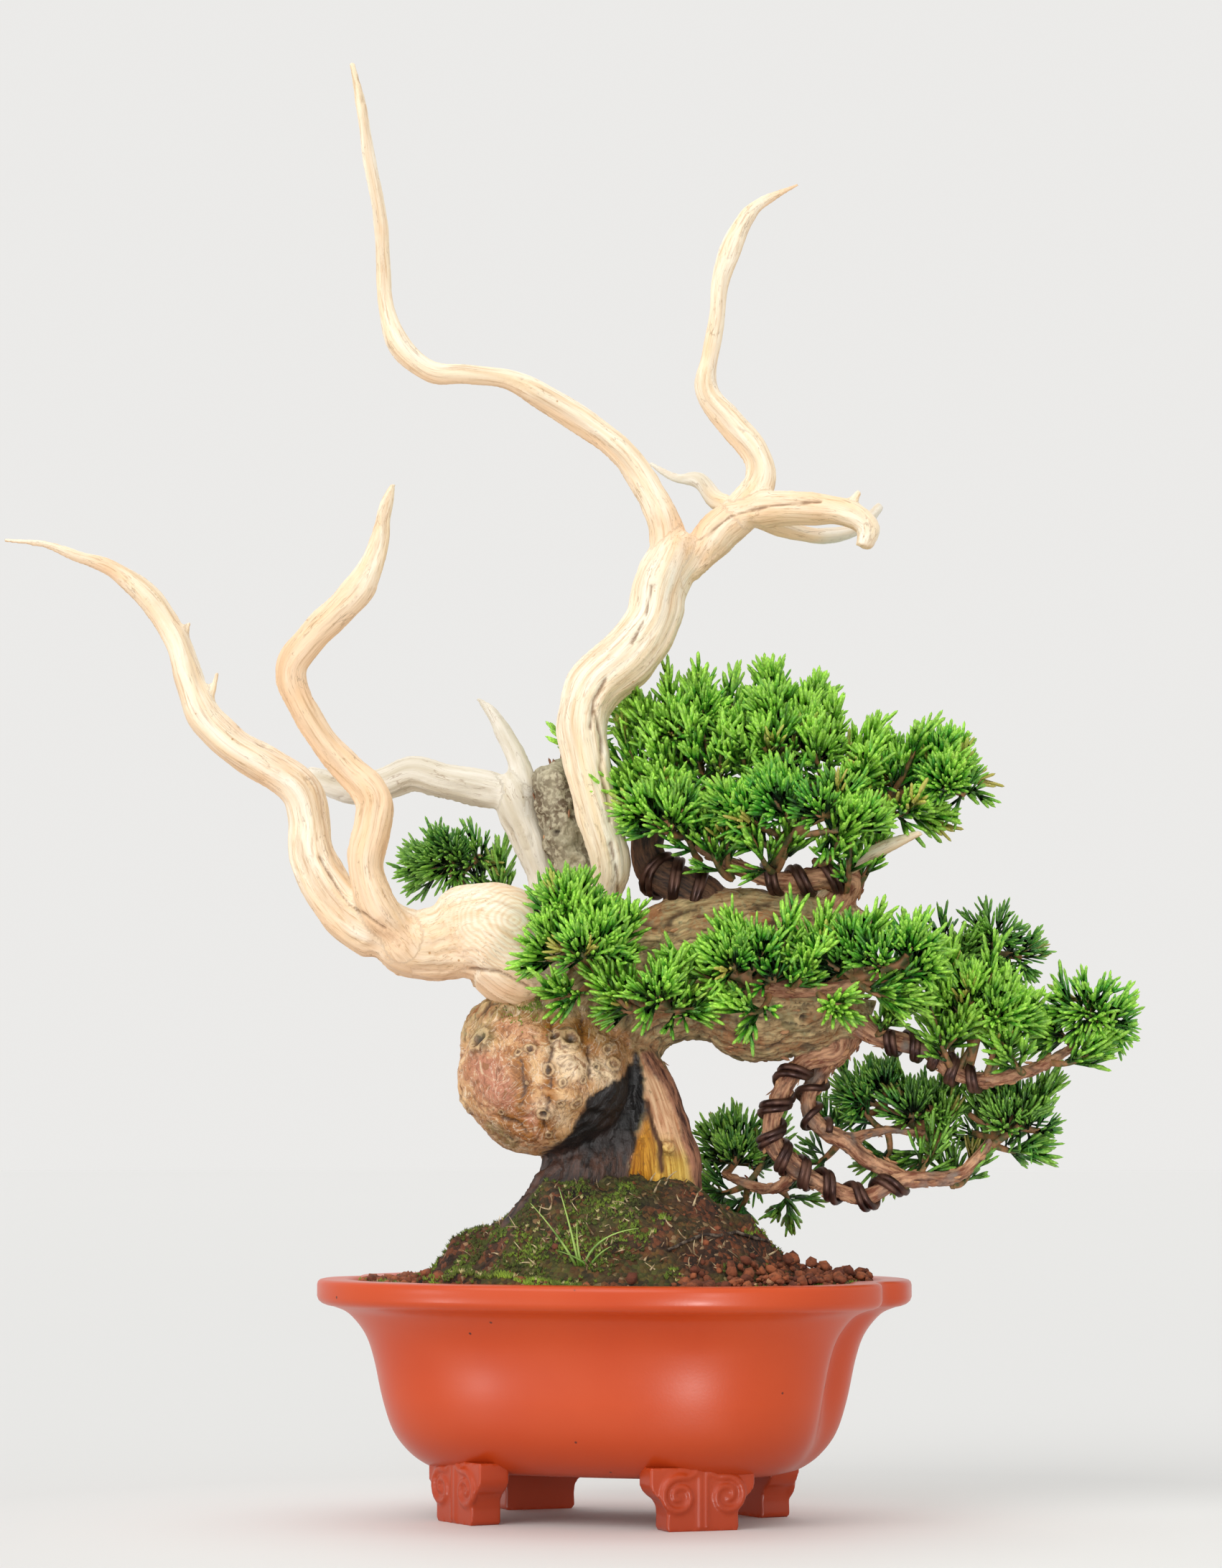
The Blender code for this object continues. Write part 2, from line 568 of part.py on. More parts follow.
def wire_run(route, first, last, turns, start=0.0):
    """The run of a wire coil between two shares of a branch's length."""
    points_a_turn = 6
    run = smooth_route(route, 8)
    places = [point for point, _ in run]
    across = (places[1] - places[0]).orthogonal().normalized()
    frames = []
    for index, point in enumerate(places):
        ahead = places[min(index + 1, len(places) - 1)] - places[max(index - 1, 0)]
        ahead.normalize()
        across = (across - ahead * across.dot(ahead)).normalized()
        frames.append((point, run[index][1], across.copy(), ahead.cross(across)))
    count = int(turns * points_a_turn)
    coil = []
    for step in range(count + 1):
        place_along = (first + (last - first) * step / count) * (len(frames) - 1)
        lower = min(int(place_along), len(frames) - 2)
        share = place_along - lower
        point = frames[lower][0].lerp(frames[lower + 1][0], share)
        radius = frames[lower][1] + (frames[lower + 1][1] - frames[lower][1]) * share
        side = frames[lower][2].lerp(frames[lower + 1][2], share)
        up = frames[lower][3].lerp(frames[lower + 1][3], share)
        angle = start + 2.0 * math.pi * step / points_a_turn
        reach = radius + WIRE_RADIUS + 2.5 * GAP
        coil.append((point + (side * math.cos(angle) + up * math.sin(angle)) * reach, WIRE_RADIUS))
    return coil


wire_metal = material("dark_brown_annealed_wire", (74, 48, 42), 0.4)
WIRES = (
    ("wire_upper", LOOP_BRANCH, 0.12, 0.36, 4.0, 0.0),
    ("wire_under", UNDER_BRANCH, 0.30, 0.62, 3.0, 1.0),
    ("wire_left_strand", LEFT_STRAND, 0.14, 0.72, 8.0, 0.5),
    ("wire_right_strand", RIGHT_STRAND, 0.30, 0.62, 2.5, 2.0),
    ("wire_right", RIGHT_BRANCH, 0.16, 0.60, 4.5, 1.5),
)
coils = []
for name, route, first, last, turns, start in WIRES:
    coil = wire_run(route, first, last, turns, start)
    wire = tube(coil, 4)
    cut_clear(wire, clearance)
    finish_piece(wire, name, wire_metal)
    clearance.append(tube(coil, 4, grow=GAP))
    coils.append(coil)


# Foliage: sprays of cord-like shoots, each spray on its own slim stem

SPRAYS = (
    ("spray_top_left", (17, 219, 10), (19, 20, 19), 9, [(20, 199, 7, 3.4), (18, 208, 9, 3), (17, 218, 10, 2.4)]),
    ("spray_top_back", (48, 221, 24), (20, 17, 21), 8, [(46, 203, 9, 3.2), (48, 209, 16, 3), (48, 219, 23, 2.4)]),
    ("spray_top_centre", (47, 216, -4), (21, 15, 18), 8, [(38, 202, 8, 3), (42, 207, 2, 2.8), (48, 214, -4, 2.4)]),
    ("spray_top_front_left", (15, 194, -22), (18, 16, 13), 7,
     [(19, 189, -8, 3), (17, 189, -14, 2.6), (13, 192, -23, 2.2)]),
    ("spray_top_front", (52, 196, -22), (28, 16, 15), 10,
     [(45, 180, -9, 3.2), (47, 186, -15, 2.8), (53, 192, -21, 2.6), (61, 195, -23, 2.2)]),
    ("spray_top_right", (87, 203, 2), (21, 24, 19), 11,
     [(73, 200, 4, 3), (80, 200, 3, 2.8), (87, 202, 2, 2.6), (94, 204, 1, 2.2)]),
    ("spray_back_tips", (-15, 217, 27), (9, 9, 9), 2, [(-15, 205, 18, 2.6), (-14, 210, 22, 2.2), (-14, 214, 25, 2)]),
    ("spray_left_upper", (-15, 171, -24), (15, 12, 14), 5,
     [(-8, 152, -24, 2.8), (-9, 160, -26, 2.6), (-13, 168, -25, 2.2)]),
    ("spray_left_front", (-9, 154, -33), (20, 12, 14), 6,
     [(-13, 157, -27, 2.8), (-12, 156, -31, 2.4), (-5, 154, -34, 2.2)]),
    ("spray_left_low", (11, 142, -32), (19, 13, 13), 6, [(8, 141, -25, 2.8), (9, 141, -29, 2.4), (15, 142, -33, 2.2)]),
    ("spray_middle_left", (34, 153, -33), (19, 13, 16), 7,
     [(44, 147, -26, 3), (38, 148, -30, 2.6), (31, 151, -33, 2.2)]),
    ("spray_middle", (68, 154, -31), (24, 15, 15), 8,
     [(66, 148, -31, 3), (70, 150, -31, 2.6), (76, 152, -31, 2.4), (82, 154, -30, 2.2)]),
    ("spray_right_back", (104, 157, 24), (18, 14, 14), 6,
     [(91, 154, 22, 3), (97, 155, 23, 2.6), (106, 158, 24, 2.2)]),
    ("spray_right", (103, 142, -10), (20, 19, 17), 11,
     [(98, 122, -3, 3), (100, 129, -6, 2.8), (103, 140, -10, 2.2)]),
    ("spray_far_right", (132, 139, 0), (16, 14, 16), 7, [(127, 130, -1, 2.8), (131, 134, 0, 2.4), (134, 139, 0, 2)]),
    ("spray_low_middle", (79, 114, 16), (22, 15, 14), 8,
     [(88, 105, 11, 3), (84, 108, 14, 2.6), (79, 111, 16, 2.4), (73, 114, 17, 2.2)]),
    ("spray_low_right", (109, 110, 10), (19, 15, 16), 8, [(104, 102, 6, 3), (106, 105, 8, 2.6), (110, 110, 10, 2.2)]),
    ("spray_low_left", (33, 99, 27), (15, 12, 15), 6, [(31, 95, 19, 2.8), (32, 96, 23, 2.4), (35, 100, 28, 2)]),
    ("spray_back_left", (-45, 182, 46), (18, 13, 13), 8,
     [(-41, 173, 45, 3), (-43, 176, 46, 2.6), (-47, 181, 46, 2.2)]),
)
SHADED_SPRAYS = ("spray_back_left", "spray_low_left", "spray_low_middle", "spray_low_right",
                 "spray_right_back", "spray_back_tips")
WOOD = -1
CORE = -1


class Thicket:
    """The wood, stems and shoots placed so far, as straight tapered lengths."""

    def __init__(self):
        self.rows = np.zeros((0, 10))

    def add(self, start, end, start_radius, end_radius, spray_number, twig_number):
        row = [*start, *end, start_radius, end_radius, spray_number, twig_number]
        self.rows = np.vstack((self.rows, row))

    def has_room(self, start, end, start_radius, end_radius, spray_number, twig_number, among_own=False):
        """True where a new length stays clear of all but its own twig, or of that twig alone."""
        own = (self.rows[:, 8] == spray_number) & (self.rows[:, 9] == twig_number)
        rows = self.rows[own if among_own else ~own]
        if not len(rows):
            return True
        start, along = np.array(start), np.array(end) - np.array(start)
        others = rows[:, 3:6] - rows[:, 0:3]
        apart = start - rows[:, 0:3]
        own_square = along @ along + 1e-9
        other_square = np.einsum("ij,ij->i", others, others) + 1e-9
        own_lead, other_lead = apart @ along, np.einsum("ij,ij->i", others, apart)
        shared = others @ along
        spread = np.maximum(own_square * other_square - shared * shared, 1e-9)
        own_share = np.clip((shared * other_lead - own_lead * other_square) / spread, 0.0, 1.0)
        other_share = np.clip((shared * own_share + other_lead) / other_square, 0.0, 1.0)
        own_share = np.clip((shared * other_share - own_lead) / own_square, 0.0, 1.0)
        nearest = apart + along * own_share[:, None] - others * other_share[:, None]
        thickness = (start_radius + (end_radius - start_radius) * own_share
                     + rows[:, 6] + (rows[:, 7] - rows[:, 6]) * other_share)
        space = np.where(rows[:, 8] == spray_number, OWN_SPACE, GAP + OWN_SPACE)
        return bool(np.all(np.linalg.norm(nearest, axis=1) > thickness + space))


def turned(x, depth, height):
    """A direction seen from the front, turned with the tree."""
    return Vector((x * math.cos(VIEW_TURN) - depth * math.sin(VIEW_TURN),
                   x * math.sin(VIEW_TURN) + depth * math.cos(VIEW_TURN), height))


def tuft_tip(centre, half, index, count, draw):
    """Where the tip of one tuft lies: the tips are spread evenly over the spray's outline."""
    rise = -0.35 + 1.28 * (index + 0.5) / count
    around = index * math.pi * (3.0 - math.sqrt(5.0)) + draw.uniform(-0.3, 0.3)
    level = math.sqrt(max(0.0, 1.0 - rise * rise))
    x, depth = math.cos(around) * level, math.sin(around) * level
    return seen(centre[0] + x * half[0], centre[1] + rise * half[2], centre[2] + depth * half[1])


def twig_run(root, leaving, tip):
    """A thin stem from a face of the core towards a tip, and the number of bands of its tuft."""
    axis = (tip - root).normalized()
    room = (tip - root).length - TIP_LENGTH - STEM_LENGTH
    bands = max(MIN_BANDS, min(MAX_BANDS, int(room / BAND_LENGTH)))
    band_length = max(1.5, min(BAND_LENGTH, room / bands))
    tuft_start = tip - axis * (TIP_LENGTH + band_length * bands)
    run = [(root, 0.0), (root + (leaving * 0.5 + axis) * STEM_LENGTH * 0.5, TWIG_RADIUS)]
    if (tuft_start - root).dot(axis) > STEM_LENGTH + 2.0:
        run.append((tuft_start, TWIG_RADIUS))
    for band in range(1, bands + 1):
        run.append((run[-1][0] + axis * band_length, TWIG_RADIUS * (1.15 - 0.08 * band)))
    return run, axis, bands


def extrude_twig(shape, face, run, tuft_bands):
    """Draw a face of the core out along a run; the four sides of each tuft band come back."""
    bands = []
    spoke = face.verts[0].co / MM - run[0][0]
    for step in range(1, len(run)):
        face = bmesh.ops.extrude_discrete_faces(shape, faces=[face])["faces"][0]
        centre, radius = run[step]
        ahead = (run[min(step + 1, len(run) - 1)][0] - run[step - 1][0]).normalized()
        spoke = (spoke - ahead * spoke.dot(ahead)).normalized()
        if step > 1:
            spoke = Matrix.Rotation(TWIST, 3, ahead) @ spoke
        for corner, vertex in enumerate(face.verts):
            around = Matrix.Rotation(math.pi * 0.5 * corner, 3, ahead)
            vertex.co = (centre + (around @ spoke) * radius) * MM
        sides = [other for edge in face.edges for other in edge.link_faces if other is not face]
        bands.append(sides)
    return bands[-tuft_bands:], face


def shoot(shape, face, lean, length, thicket, spray_number, twig_number, draw):
    """Raise one face into a pointed shoot, shorter or not at all where there is no room."""
    centre = face.calc_center_median() / MM
    for share, jitter in SHOOT_TRIES:
        wobble = Vector([draw.uniform(-jitter, jitter) for _ in range(3)])
        end = centre + (lean + wobble).normalized() * length * share
        outer = centre.lerp(end, 0.4)
        if (thicket.has_room(centre, end, SHOOT_RADIUS, POINT, spray_number, twig_number)
                and thicket.has_room(outer, end, SHOOT_RADIUS * 0.6, POINT, spray_number, twig_number, True)):
            made = bmesh.ops.poke(shape, faces=[face])["verts"]
            made[0].co = end * MM
            thicket.add(centre, end, SHOOT_RADIUS, POINT, spray_number, twig_number)
            return


def is_point(vertex):
    """True for the free end of a shoot, where four triangles meet."""
    return len(vertex.link_edges) == 4 and all(len(face.verts) == 3 for face in vertex.link_faces)


def shorten_crossings(shape):
    """Draw back the shoots that run into another part of their own spray."""
    for _ in range(CROSSING_ROUNDS):
        shape.faces.ensure_lookup_table()
        tree = BVHTree.FromBMesh(shape)
        points = set()
        for first, second in tree.overlap(tree):
            here, there = shape.faces[first], shape.faces[second]
            if not set(here.verts) & set(there.verts):
                points.update(vertex for vertex in (*here.verts, *there.verts) if is_point(vertex))
        for point in points:
            base = sum((edge.other_vert(point).co for edge in point.link_edges), Vector()) / 4.0
            point.co = point.co.lerp(base, 0.3)


def spray(number, name, centre, half, count, core_route, finish, thicket):
    """One spray: a slim core, twigs drawn out of its faces, and shoots raised on the twigs."""
    draw = random.Random(name)
    core = smooth_route(core_route, 2)
    body = tube(core, 6)
    shape = bmesh.new()
    shape.from_mesh(body.data)
    for (start, radius), (end, _) in zip(core, core[1:]):
        thicket.add(start, end, radius, radius, number, CORE)
    free_faces = [face for face in shape.faces if len(face.verts) == 4]
    tufts = []
    for index in range(count):
        tip = tuft_tip(centre, half, index, count, draw)
        free_faces.sort(key=lambda face: (face.calc_center_median() / MM + face.normal * 3.0 - tip).length)
        for face in free_faces[:NEAREST_FACES]:
            root = face.calc_center_median() / MM
            run, axis, bands = twig_run(root, face.normal.copy(), tip)
            steps = list(zip(run[1:], run[2:]))
            if face.normal.dot(axis) > 0.4 and all(
                    thicket.has_room(start, end, radius, end_radius, number, index)
                    for (start, radius), (end, end_radius) in steps):
                free_faces.remove(face)
                for (start, radius), (end, end_radius) in steps:
                    thicket.add(start, end, radius, end_radius, number, index)
                tufts.append((index, run, axis, *extrude_twig(shape, face, run, bands)))
                break
    for index, run, axis, bands, tip in tufts:
        shoot(shape, tip, axis, TIP_LENGTH, thicket, number, index, draw)
        first = len(run) - 1 - len(bands)
        for band, sides in enumerate(bands):
            middle = (run[first + band][0] + run[first + band + 1][0]) * 0.5
            opening = math.radians(FIRST_OPENING - OPENING_STEP * band)
            for face in sides:
                outwards = face.calc_center_median() / MM - middle
                outwards = (outwards - axis * outwards.dot(axis)).normalized()
                lean = axis * math.cos(opening) + outwards * math.sin(opening)
                length = SHOOT_LENGTH * draw.uniform(0.85, 1.1)
                shoot(shape, face, lean, length, thicket, number, index, draw)
    shorten_crossings(shape)
    shape.to_mesh(body.data)
    shape.free()
    cut_clear(body, clearance)
    finish_piece(body, name, finish, 25.0)


thicket = Thicket()
for route, _, _ in LIVE_ROUTES + APEX_ROUTES + TWIN_ROUTES + BACK_ROUTES + SIDE_ROUTES:
    run = smooth_route(route, 2)
    for (start, start_radius), (end, end_radius) in zip(run, run[1:]):
        thicket.add(start, end, start_radius, end_radius, WOOD, CORE)
thicket.add(seen(*BURL_CENTRE), seen(*BURL_CENTRE), BURL_HALF[0], BURL_HALF[0], WOOD, CORE)
for coil in coils:
    for (start, _), (end, _) in zip(coil, coil[1:]):
        thicket.add(start, end, WIRE_RADIUS, WIRE_RADIUS, WOOD, CORE)

green = material("juniper_shoots", (58, 140, 40), 0.6)
dark_green = material("shaded_juniper_shoots", (36, 92, 40), 0.65)
for number, (name, centre, half, count, core_route) in enumerate(SPRAYS):
    finish = dark_green if name in SHADED_SPRAYS else green
    spray(number, name, centre, half, count, core_route, finish, thicket)


# Drop the cutters and set the origin at the middle of the footprint

for cutter in clearance:
    bpy.data.objects.remove(cutter, do_unlink=True)
corners = np.concatenate([np.array([tuple(vertex.co) for vertex in piece.data.vertices])
                          for piece in bpy.data.objects if piece.type == "MESH"])
low, high = corners.min(axis=0), corners.max(axis=0)
shift = Matrix.Translation((-(low[0] + high[0]) * 0.5, -(low[1] + high[1]) * 0.5, -low[2]))
for piece in bpy.data.objects:
    if piece.type == "MESH":
        piece.data.transform(shift)
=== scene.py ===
"""Chinese juniper bonsai in its clay pot, dressed over the fixed solids.

Sizes are in millimetres until a mesh is finished, which turns them to metres. The tree was
measured from the front, so its places are (x to the right, height, depth behind the pot's centre).
"""
import math
import random

import bmesh
import bpy
import numpy as np
from mathutils import Matrix, Vector, noise
from mathutils.bvhtree import BVHTree


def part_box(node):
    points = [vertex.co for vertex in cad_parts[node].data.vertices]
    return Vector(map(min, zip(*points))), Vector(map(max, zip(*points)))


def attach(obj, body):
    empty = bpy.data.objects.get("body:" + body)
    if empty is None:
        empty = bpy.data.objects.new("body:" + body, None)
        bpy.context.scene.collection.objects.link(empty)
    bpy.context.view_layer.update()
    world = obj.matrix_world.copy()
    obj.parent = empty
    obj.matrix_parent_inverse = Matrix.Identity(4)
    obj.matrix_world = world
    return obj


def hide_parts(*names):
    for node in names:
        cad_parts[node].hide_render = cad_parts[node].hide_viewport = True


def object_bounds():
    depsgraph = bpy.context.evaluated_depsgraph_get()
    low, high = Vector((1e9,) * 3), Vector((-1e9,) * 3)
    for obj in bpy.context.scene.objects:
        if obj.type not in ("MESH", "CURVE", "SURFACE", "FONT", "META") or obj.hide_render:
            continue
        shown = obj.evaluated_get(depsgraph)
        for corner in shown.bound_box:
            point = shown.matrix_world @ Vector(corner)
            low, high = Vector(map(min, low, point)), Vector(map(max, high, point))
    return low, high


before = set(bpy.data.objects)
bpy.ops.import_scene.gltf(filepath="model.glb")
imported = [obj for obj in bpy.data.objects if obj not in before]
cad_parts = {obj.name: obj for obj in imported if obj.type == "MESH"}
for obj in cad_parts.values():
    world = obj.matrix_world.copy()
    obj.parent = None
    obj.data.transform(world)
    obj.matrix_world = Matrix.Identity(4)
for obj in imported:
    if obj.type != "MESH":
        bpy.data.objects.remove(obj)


# Studio: a pale seamless floor, broad soft lamps and a camera level with the pot's rim.
# The front of the tree is turned a little from the pot's long side, as it stands on its table.

MM = 0.001
UP = Vector((0.0, 0.0, 1.0))
VIEW_TURN = math.radians(20.0)
EYE_DISTANCE = 1300.0
EYE_HEIGHT = 110.0
AIM_HEIGHT = 203.5
AIM_SIDE = -0.8
LENS = 107.1
LAMP_AIM_HEIGHT = 170.0
FLOOR_RADIUS = 9000.0
# How far apart the paper's own patches lie, in metres.
PAPER_DRIFT = 6.0
# The middle of the pool of light painted on the paper, from the pot's centre.
PAINTED_POOL_MIDDLE = Vector((50.0, -60.0, 0.0))
# Lamps far away, as (name, place to the right, up and behind, width in degrees, strength).
LAMPS = (
    ("key_softbox", (-700.0, 1150.0, -1000.0), 40.0, 1.05),
    ("left_window", (-1330.0, 300.0, -720.0), 9.0, 0.24),
    ("near_window", (75.0, 300.0, -1400.0), 9.0, 0.45),
    ("top_softbox", (100.0, 1300.0, 500.0), 60.0, 0.6),
    ("left_table_glint", (-1320.0, -320.0, -790.0), 7.0, 0.42),
    ("near_table_glint", (-60.0, -320.0, -1500.0), 6.0, 1.3),
)

cad_box = [[float(value) for value in corner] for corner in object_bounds()]
pot_low, pot_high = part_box("pot")
STAND = Vector(((pot_low.x + pot_high.x) * 0.5, (pot_low.y + pot_high.y) * 0.5, 0.0)) / MM
RIGHTWARDS = Vector((math.cos(VIEW_TURN), math.sin(VIEW_TURN), 0.0))
AWAY = Vector((-math.sin(VIEW_TURN), math.cos(VIEW_TURN), 0.0))


def linear(code):
    """Linear colour of an sRGB hex code."""
    values = [int(code[index:index + 2], 16) / 255.0 for index in (1, 3, 5)]
    return [value / 12.92 if value <= 0.04045 else ((value + 0.055) / 1.055) ** 2.4
            for value in values] + [1.0]


def add_node(tree, kind, inputs=None, wanted=0, **settings):
    """Add a node and give its wanted output.

    An input is a number, a hex colour, another node's output, or the name of a share on the mesh.
    """
    node = tree.nodes.new("ShaderNode" + kind)
    for name, value in settings.items():
        setattr(node, name, value)
    for socket, value in (inputs or {}).items():
        if isinstance(value, str):
            value = (linear(value) if value.startswith("#")
                     else add_node(tree, "Attribute", wanted="Fac", attribute_name=value))
        if isinstance(value, bpy.types.NodeSocket):
            tree.links.new(value, node.inputs[socket])
        else:
            node.inputs[socket].default_value = value
    return node.outputs[wanted]


def new_finish(name, values):
    """A material with plain values on its shader, its node tree, and the place of its points."""
    finish = bpy.data.materials.new(name)
    finish.use_nodes = True
    for socket, value in values.items():
        finish.node_tree.nodes["Principled BSDF"].inputs[socket].default_value = value
    return finish, finish.node_tree, add_node(finish.node_tree, "TexCoord", wanted="Object")


def toned(tree, colour, *coats):
    """Lay coats over a colour: (tone, how much of it, the range to read, the range to use)."""
    for tone, share, *span in coats:
        if span:
            ends = dict(zip(("From Min", "From Max", "To Min", "To Max"), span))
            share = add_node(tree, "MapRange", {"Value": share, **ends})
        colour = add_node(tree, "Mix", {"Factor": share, 6: colour, 7: tone}, 2, data_type="RGBA")
    return colour


def finish_skin(tree, colour, relief=None, strength=0.0, depth=0.0, roughness=None):
    """Link a colour, a relief with its depth in millimetres, and a roughness to the shader.

    A negative strength turns the relief inwards.
    """
    inputs = tree.nodes["Principled BSDF"].inputs
    tree.links.new(colour, inputs["Base Color"])
    if relief:
        bump = {"Height": relief, "Strength": abs(strength), "Distance": depth * MM}
        tree.links.new(add_node(tree, "Bump", bump, invert=strength < 0.0), inputs["Normal"])
    if roughness:
        tree.links.new(roughness, inputs["Roughness"])


def link_object(name, data):
    """Put an object at the origin of the scene."""
    thing = bpy.data.objects.new(name, data)
    bpy.context.scene.collection.objects.link(thing)
    return thing


def as_mesh(name, shape):
    """The mesh of a bmesh, which is freed."""
    mesh = bpy.data.meshes.new(name)
    shape.to_mesh(mesh)
    shape.free()
    return mesh


def from_front(side, height, depth):
    """The place to the right of the pot's centre, above the floor and behind, from the front."""
    return STAND + RIGHTWARDS * side + AWAY * depth + UP * height


def look_from(thing, place, aim):
    """Turn a camera or a lamp at a place towards an aim, both in millimetres."""
    back = (place - aim).normalized()
    side = UP.cross(back).normalized()
    turn = Matrix((side, back.cross(side), back)).transposed().to_4x4()
    turn.translation = place * MM
    thing.matrix_world = turn


eye = from_front(AIM_SIDE, EYE_HEIGHT, -EYE_DISTANCE)
camera = link_object("camera", bpy.data.cameras.new("camera"))
camera.data.lens = LENS
camera.data.sensor_width = 36.0
camera.data.sensor_fit = "AUTO"
camera.data.clip_start = 0.01
camera.data.clip_end = 50.0
look_from(camera, eye, from_front(AIM_SIDE, AIM_HEIGHT, 0.0))
bpy.context.scene.camera = camera

shape = bmesh.new()
bmesh.ops.create_circle(shape, cap_ends=True, segments=96, radius=FLOOR_RADIUS * MM,
                        matrix=Matrix.Translation(STAND * MM))
floor = link_object("floor", as_mesh("floor", shape))
paper, tree, place = new_finish("matt_backdrop_paper", {"Roughness": 0.75})
# The paper is uneven over metres, and a painted pool of light makes it brightest round the tree.
drift = add_node(tree, "Mapping", {"Vector": place, "Scale": (1.0 / PAPER_DRIFT,) * 3,
                                   "Location": Vector((1.5, 1.5, 1.5)) - STAND * MM / PAPER_DRIFT})
cloudy = add_node(tree, "TexNoise", {"Vector": drift, "Scale": 1.0, "Detail": 2.0})
reach = add_node(tree, "VectorMath", {0: place, 1: (STAND + PAINTED_POOL_MIDDLE) * MM}, "Value",
                 operation="DISTANCE")
finish_skin(tree, toned(tree, "#D0D0CF", ("#D4D4D3", cloudy), ("#E0E0DE", reach, 0.1, 0.25, 1.0, 0.0)))
floor.data.materials.append(paper)

# A glint is a window seen again in the polished table. It comes through the floor, which blocks all
# other light, and it only shows where a skin is glossy.
let_through = bpy.data.collections.new("floor_lets_glints_through")
let_through.objects.link(floor)
let_through.collection_objects[0].light_linking.link_state = "EXCLUDE"
for name, spot, width, strength in LAMPS:
    lamp = link_object(name, bpy.data.lights.new(name, "SUN"))
    lamp.data.angle = math.radians(width)
    lamp.data.energy = strength
    look_from(lamp, from_front(*spot), from_front(0.0, LAMP_AIM_HEIGHT, 0.0))
    if name.endswith("glint"):
        lamp.visible_diffuse = False
        lamp.light_linking.blocker_collection = let_through

# The paper sweeps up behind the tree, so the tent is as bright at eye level as the lit floor.
world = bpy.data.worlds.new("white_tent")
world.use_nodes = True
tent = world.node_tree.nodes["Background"].inputs
tent["Color"].default_value = linear("#FBFAF8")
tent["Strength"].default_value = 0.865
bpy.context.scene.world = world
bpy.context.scene.view_settings.view_transform = "Standard"


# Pot: pressed and fired stoneware clay, unglazed and burnished to a soft sheen. Its plan is a
# lobed oval with a notch at each end, its lip is a band, and four feet are luted on below.

POT_HALF_LENGTH = 82.0
POT_HALF_WIDTH = 62.0
POT_HEIGHT = 66.0
POT_SQUARENESS = 2.6
NOTCH_DEPTH = 4.5
NOTCH_WIDTH = 7.5
POT_SIDES = 160
# Levels of the bowl's wall, as (height, how far in from the widest outline).
BELLY = [(13.3, 34.0), (14.4, 30.0), (18.0, 25.0), (24.0, 20.6), (33.0, 17.7), (44.0, 15.4),
         (51.0, 13.0), (56.5, 8.7), (58.6, 4.4)]
LIP = [(58.9, 2.9), (59.4, 1.7), (60.2, 0.8), (61.3, 0.4), (64.5, 0.4), (65.3, 0.6), (65.8, 1.1),
       (POT_HEIGHT, 1.9), (POT_HEIGHT, 7.6), (65.8, 8.4), (65.3, 9.0)]
HOLLOW = [(63.5, 10.4), (60.0, 13.0), (52.0, 17.5), (40.0, 21.0), (30.0, 24.3), (22.0, 31.0), (19.0, 39.0)]
# Half the outline of a foot, as (across, height).
FOOT_PROFILE = [(15.0, 17.0), (15.0, 12.2), (14.4, 10.8), (13.2, 9.4), (11.6, 8.3), (10.6, 6.8),
                (10.2, 4.5), (10.4, 0.9), (9.8, 0.0)]
FOOT_DEPTH = 9.0
FOOT_PLACE = (36.0, 29.0)
FOOT_FACING = math.radians(50.0)
VOLUTE_CENTRE = (6.9, 9.4)
VOLUTE_LEAD = ((1.6, 16.4), (2.6, 15.2), (4.4, 14.4))
DRAIN_SIDE = 28.0
DRAIN_RADIUS = 6.5


def smooth(points, steps):
    """More points on one smooth curve through the given vectors."""
    last = len(points) - 1
    finer = []
    for index in range(last):
        before, here = points[max(index - 1, 0)], points[index]
        after, beyond = points[index + 1], points[min(index + 2, last)]
        for step in range(steps):
            t = step / steps
            finer.append((2.0 * here + (after - before) * t
                          + (2.0 * before - 5.0 * here + 4.0 * after - beyond) * t * t
                          + (3.0 * here - before - 3.0 * after + beyond) * t * t * t) * 0.5)
    return finer + [points[last]]


def pot_outline(inset, notch, sides):
    """The lobed oval of the pot at one level."""
    power = 2.0 / POT_SQUARENESS
    outline = []
    for index in range(sides):
        turn = 2.0 * math.pi * index / sides
        angle = turn - 0.3 * math.sin(2.0 * turn)
        across, along = math.cos(angle), math.sin(angle)
        x = (POT_HALF_LENGTH - inset) * math.copysign(abs(across) ** power, across)
        y = (POT_HALF_WIDTH - inset) * math.copysign(abs(along) ** power, along)
        x -= math.copysign(notch * math.exp(-(y / NOTCH_WIDTH) ** 2), x)
        outline.append((x, y))
    return outline


def notch_at(height):
    """The end notch is deep at the lip and fades out towards the bottom of the bowl."""
    return NOTCH_DEPTH * min(1.0, max(0.15, (height - 14.0) / 22.0))


def bowl(levels, sides):
    """A closed body whose rings follow the pot's outline at (height, inset) levels."""
    shape = bmesh.new()
    ring = bmesh.ops.create_circle(shape, segments=sides, radius=1.0, cap_ends=True)["verts"]
    edges = list(shape.edges)
    for number, (height, inset) in enumerate(levels):
        if number:
            made = bmesh.ops.extrude_edge_only(shape, edges=edges)["geom"]
            ring = [item for item in made if isinstance(item, bmesh.types.BMVert)]
            rim = set(ring)
            edges = [item for item in made
                     if isinstance(item, bmesh.types.BMEdge) and rim.issuperset(item.verts)]
        for vertex, (x, y) in zip(ring, pot_outline(inset, notch_at(height), sides)):
            vertex.co = STAND + Vector((x, y, height))
    bmesh.ops.contextual_create(shape, geom=edges)
    return shape


